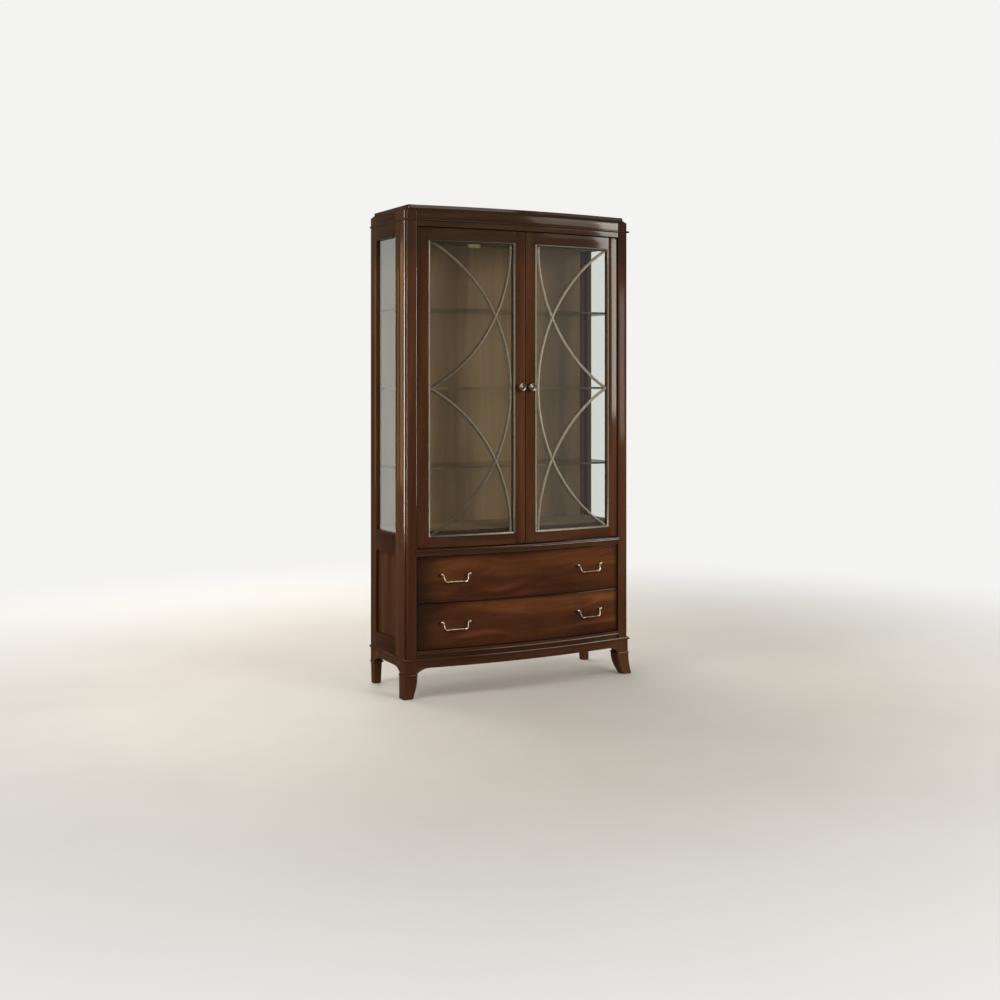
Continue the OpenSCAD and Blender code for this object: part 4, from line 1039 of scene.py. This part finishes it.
def build_world():
    """Pale studio, with a bright wall low behind the cabinet that lights the floor under it."""
    world = bpy.data.worlds.new("studio")
    bpy.context.scene.world = world
    world.use_nodes = True
    nt = world.node_tree
    nt.nodes.clear()
    out = nt.nodes.new("ShaderNodeOutputWorld")
    parts = split_xyz(nt, node(nt, "TexCoord").outputs["Generated"])
    behind = map_range(nt, parts["Y"], -0.3, 0.6)
    room = ramp(nt, behind, [(0.0, ROOM_FRONT), (1.0, ROOM_BACK)])
    height = math_node(nt, "ABSOLUTE", parts["Z"])
    low_down = map_range(nt, height, WALL_FROM, WALL_TO, 1.0, 0.0)
    at_back = map_range(nt, parts["Y"], WALL_FROM, WALL_TO)
    wall = math_node(nt, "MULTIPLY", low_down, at_back)
    room = mix(nt, wall, room, BRIGHT_WALL)
    path, clear, second = ray_kinds(nt)
    room = mix(nt, path["Is Glossy Ray"], room, ROOM_GLINT)
    look = mix(nt, second, mix(nt, clear, room, BACK), DIM)
    shade = node(nt, "Background", {"Color": look, "Strength": 1.0})
    nt.links.new(shade.outputs["Background"], out.inputs["Surface"])


mesh = bpy.data.meshes.new("floor")
corner = [(-1, -1), (1, -1), (1, 1), (-1, 1)]
mesh.from_pydata([(x * FLOOR_HALF, y * FLOOR_HALF, 0) for x, y in corner], [], [(0, 1, 2, 3)])
mesh.materials.append(floor_material())
floor = bpy.data.objects.new("floor", mesh)
bpy.context.scene.collection.objects.link(floor)
build_world()

# ---------------------------------------------------------------- lamps and cards
DAYLIGHT, PAPER = (1.0, 0.98, 0.95), (1.0, 0.97, 0.93)
WARM = (1.0, 0.92, 0.80)
CREAM = (1.0, 0.95, 0.87)
COOL = (0.92, 1.0, 1.0)
BRIGHT = (0.94, 0.98, 1.0)


def lamp(name, place, aim, size, power, colour=DAYLIGHT, only=None):
    """Soft rectangular lamp; with only, it is a card seen just as a gloss on those pieces."""
    data = bpy.data.lights.new(name, "AREA")
    data.shape = "RECTANGLE"
    data.size, data.size_y = size
    data.energy = power
    data.color = colour
    obj = bpy.data.objects.new(name, data)
    bpy.context.scene.collection.objects.link(obj)
    obj.location = place
    to_aim = [a - p for a, p in zip(aim, place)]
    yaw = math.atan2(to_aim[0], -to_aim[1])
    pitch = math.atan2(math.hypot(to_aim[0], to_aim[1]), -to_aim[2])
    obj.rotation_euler = (pitch, 0.0, yaw + math.pi)
    obj.visible_camera = False
    obj.visible_transmission = False
    if only:
        obj.visible_diffuse = False
        obj.light_linking.receiver_collection = only
    else:
        obj.visible_glossy = False


def card(name, place, aim, size, radiance, only, colour=PAPER):
    """Glossy card of the given radiance."""
    lamp(name, place, aim, size, radiance * math.pi * size[0] * size[1], colour, only)


def gathered(name, *starts):
    """Collection of the pieces whose names begin so, for the linking of the cards."""
    group = bpy.data.collections.new(name)
    for obj in bpy.data.objects:
        if obj.type == "MESH" and obj.name.startswith(starts):
            group.objects.link(obj)
    return group


CASE_WOOD = ("post_front", "cap", "bead_", "band_", "rail_")
FRONT_WOOD = ("door_hinge", "door_lock", "door_rails", "drawer_")
woods = gathered("woods", *CASE_WOOD, *FRONT_WOOD)
corners = gathered("corners", "post_front_left", "cap", "bead_cornice")
side_front = gathered("side_front", "post_front_left", "side_stiles_left")
high = gathered("high", "cap", "bead_cornice", "band_", "rail_top", "door_rails")
cap_line = gathered("cap_line", "cap", "bead_cornice")
band_line = gathered("band_line", "band_")
low = gathered("low", "rail_waist", "rail_bottom", "bead_base", "leg_")
left_post = gathered("left_post", "post_front_left")
right_post = gathered("right_post", "post_front_right")
frets = gathered("frets", "door_fret")
pulls = gathered("pulls", "pull_")
knobs = gathered("knobs", "door_knob")
right_fret = gathered("frets_right", "door_fret_right")
side_panes = gathered("side_panes", "side_glass")
right_pane = gathered("right_pane", "right_door_glass")

# name, place, aim, size in metres, then watts of a lamp or radiance and pieces of a card
lamp("key", (2.4, -5.6, 2.4), (0, 0, 0.9), (2.6, 2.6), 215.0)
lamp("fill_left", (-2.2, -0.2, 2.3), (-0.45, 0, 1.2), (1.0, 1.2), 34.0)
lamp("fill_right", (3.4, -1.4, 2.2), (0.3, 0, 1.2), (1.4, 2.4), 36.0)
lamp("window_back", (-0.6, 4.2, 1.9), (0, 0, 0.2), (5.0, 2.6), 190.0)

card("card_left", (-3.3, -1.5, 1.2), (-0.45, -0.2, 1.2), (3.0, 1.7), 34.0, corners, WARM)
card("card_left_high", (-3.3, -1.5, 2.4), (-0.45, -0.2, 1.9), (3.0, 0.7), 14.0, corners, WARM)
card("card_right", (3.4, -0.4, 1.3), (-0.4, -0.2, 1.3), (2.2, 1.7), 30.0, left_post, WARM)
card("card_window", (2.96, -1.83, 2.0), (0.44, -0.2, 1.7), (1.1, 1.8), 7.0, woods, (1, 0.95, 0.86))
card("card_post", (2.12, -2.72, 1.45), (0.49, -0.2, 1.4), (0.5, 1.0), 2.3, right_post)
card("card_high", (2.83, -2.42, 3.3), (0.3, -0.2, 1.6), (2.1, 1.4), 0.7, high)
card("card_band", (2.75, -2.55, 2.6), (0.3, -0.2, 2), (2.4, 1.4), 1.9, band_line, (1, 0.88, 0.68))
card("card_cap", (0.4, -3.6, 3.9), (0, -0.2, 1.9), (2.8, 1.6), 2.0, cap_line)
card("card_low", (2.6, -2.8, 2.9), (0.1, -0.2, 0.5), (3.0, 1.6), 7.5, low)
card("card_side", (-1.9, 2.8, 1.45), (0, 2.8, 1.45), (0.6, 1.6), 1.1, side_front, (1, 0.74, 0.40))

card("fret_left", (-2.0, -3.2, 1.5), (0, -0.3, 1.3), (1.6, 2.8), 0.9, frets)
card("fret_front", (1.0, -4.1, 1.3), (0, -0.3, 1.3), (2.4, 2.8), 0.75, frets)
card("fret_right", (2.9, -3.0, 1.3), (0.2, -0.3, 1.2), (2.2, 2.4), 1.7, frets)
card("fret_bright", (2.2, -3.4, 1.5), (0.2, -0.3, 1.2), (1.6, 2.4), 1.8, right_fret, BRIGHT)
card("fret_side", (3.4, -0.4, 1.4), (0.0, -0.2, 1.3), (2.4, 2.4), 1.6, frets)
card("fret_top", (2.2, -2.1, 4.0), (0.2, -0.25, 0.9), (2.2, 1.8), 2.2, frets)
card("knob_front", (-0.6, -4.6, 2.4), (0, -0.3, 1.3), (2.4, 1.6), 2.6, knobs)
card("knob_top", (0.0, -2.4, 3.6), (0, -0.3, 1.3), (2.0, 1.4), 6.0, knobs)
card("pull_left", (-2.8, -2.6, 1.6), (0, -0.3, 0.4), (1.6, 2.2), 4.0, pulls, CREAM)
card("pull_right", (2.6, -2.8, 1.6), (0, -0.3, 0.4), (1.6, 2.2), 3.0, pulls)
card("pull_top", (0.0, -2.4, 3.4), (0, -0.2, 0.4), (3.0, 1.8), 9.0, pulls, CREAM)
card("card_back", (-2.2, 3.2, 1.5), (-0.6, 0, 1.3), (2.4, 3), 1.55, side_panes, (0.915, 1, 0.96))
card("pane_right", (2.6, -2.4, 1.4), (0.3, -0.2, 1.2), (2.2, 2.4), 0.42, right_pane, COOL)
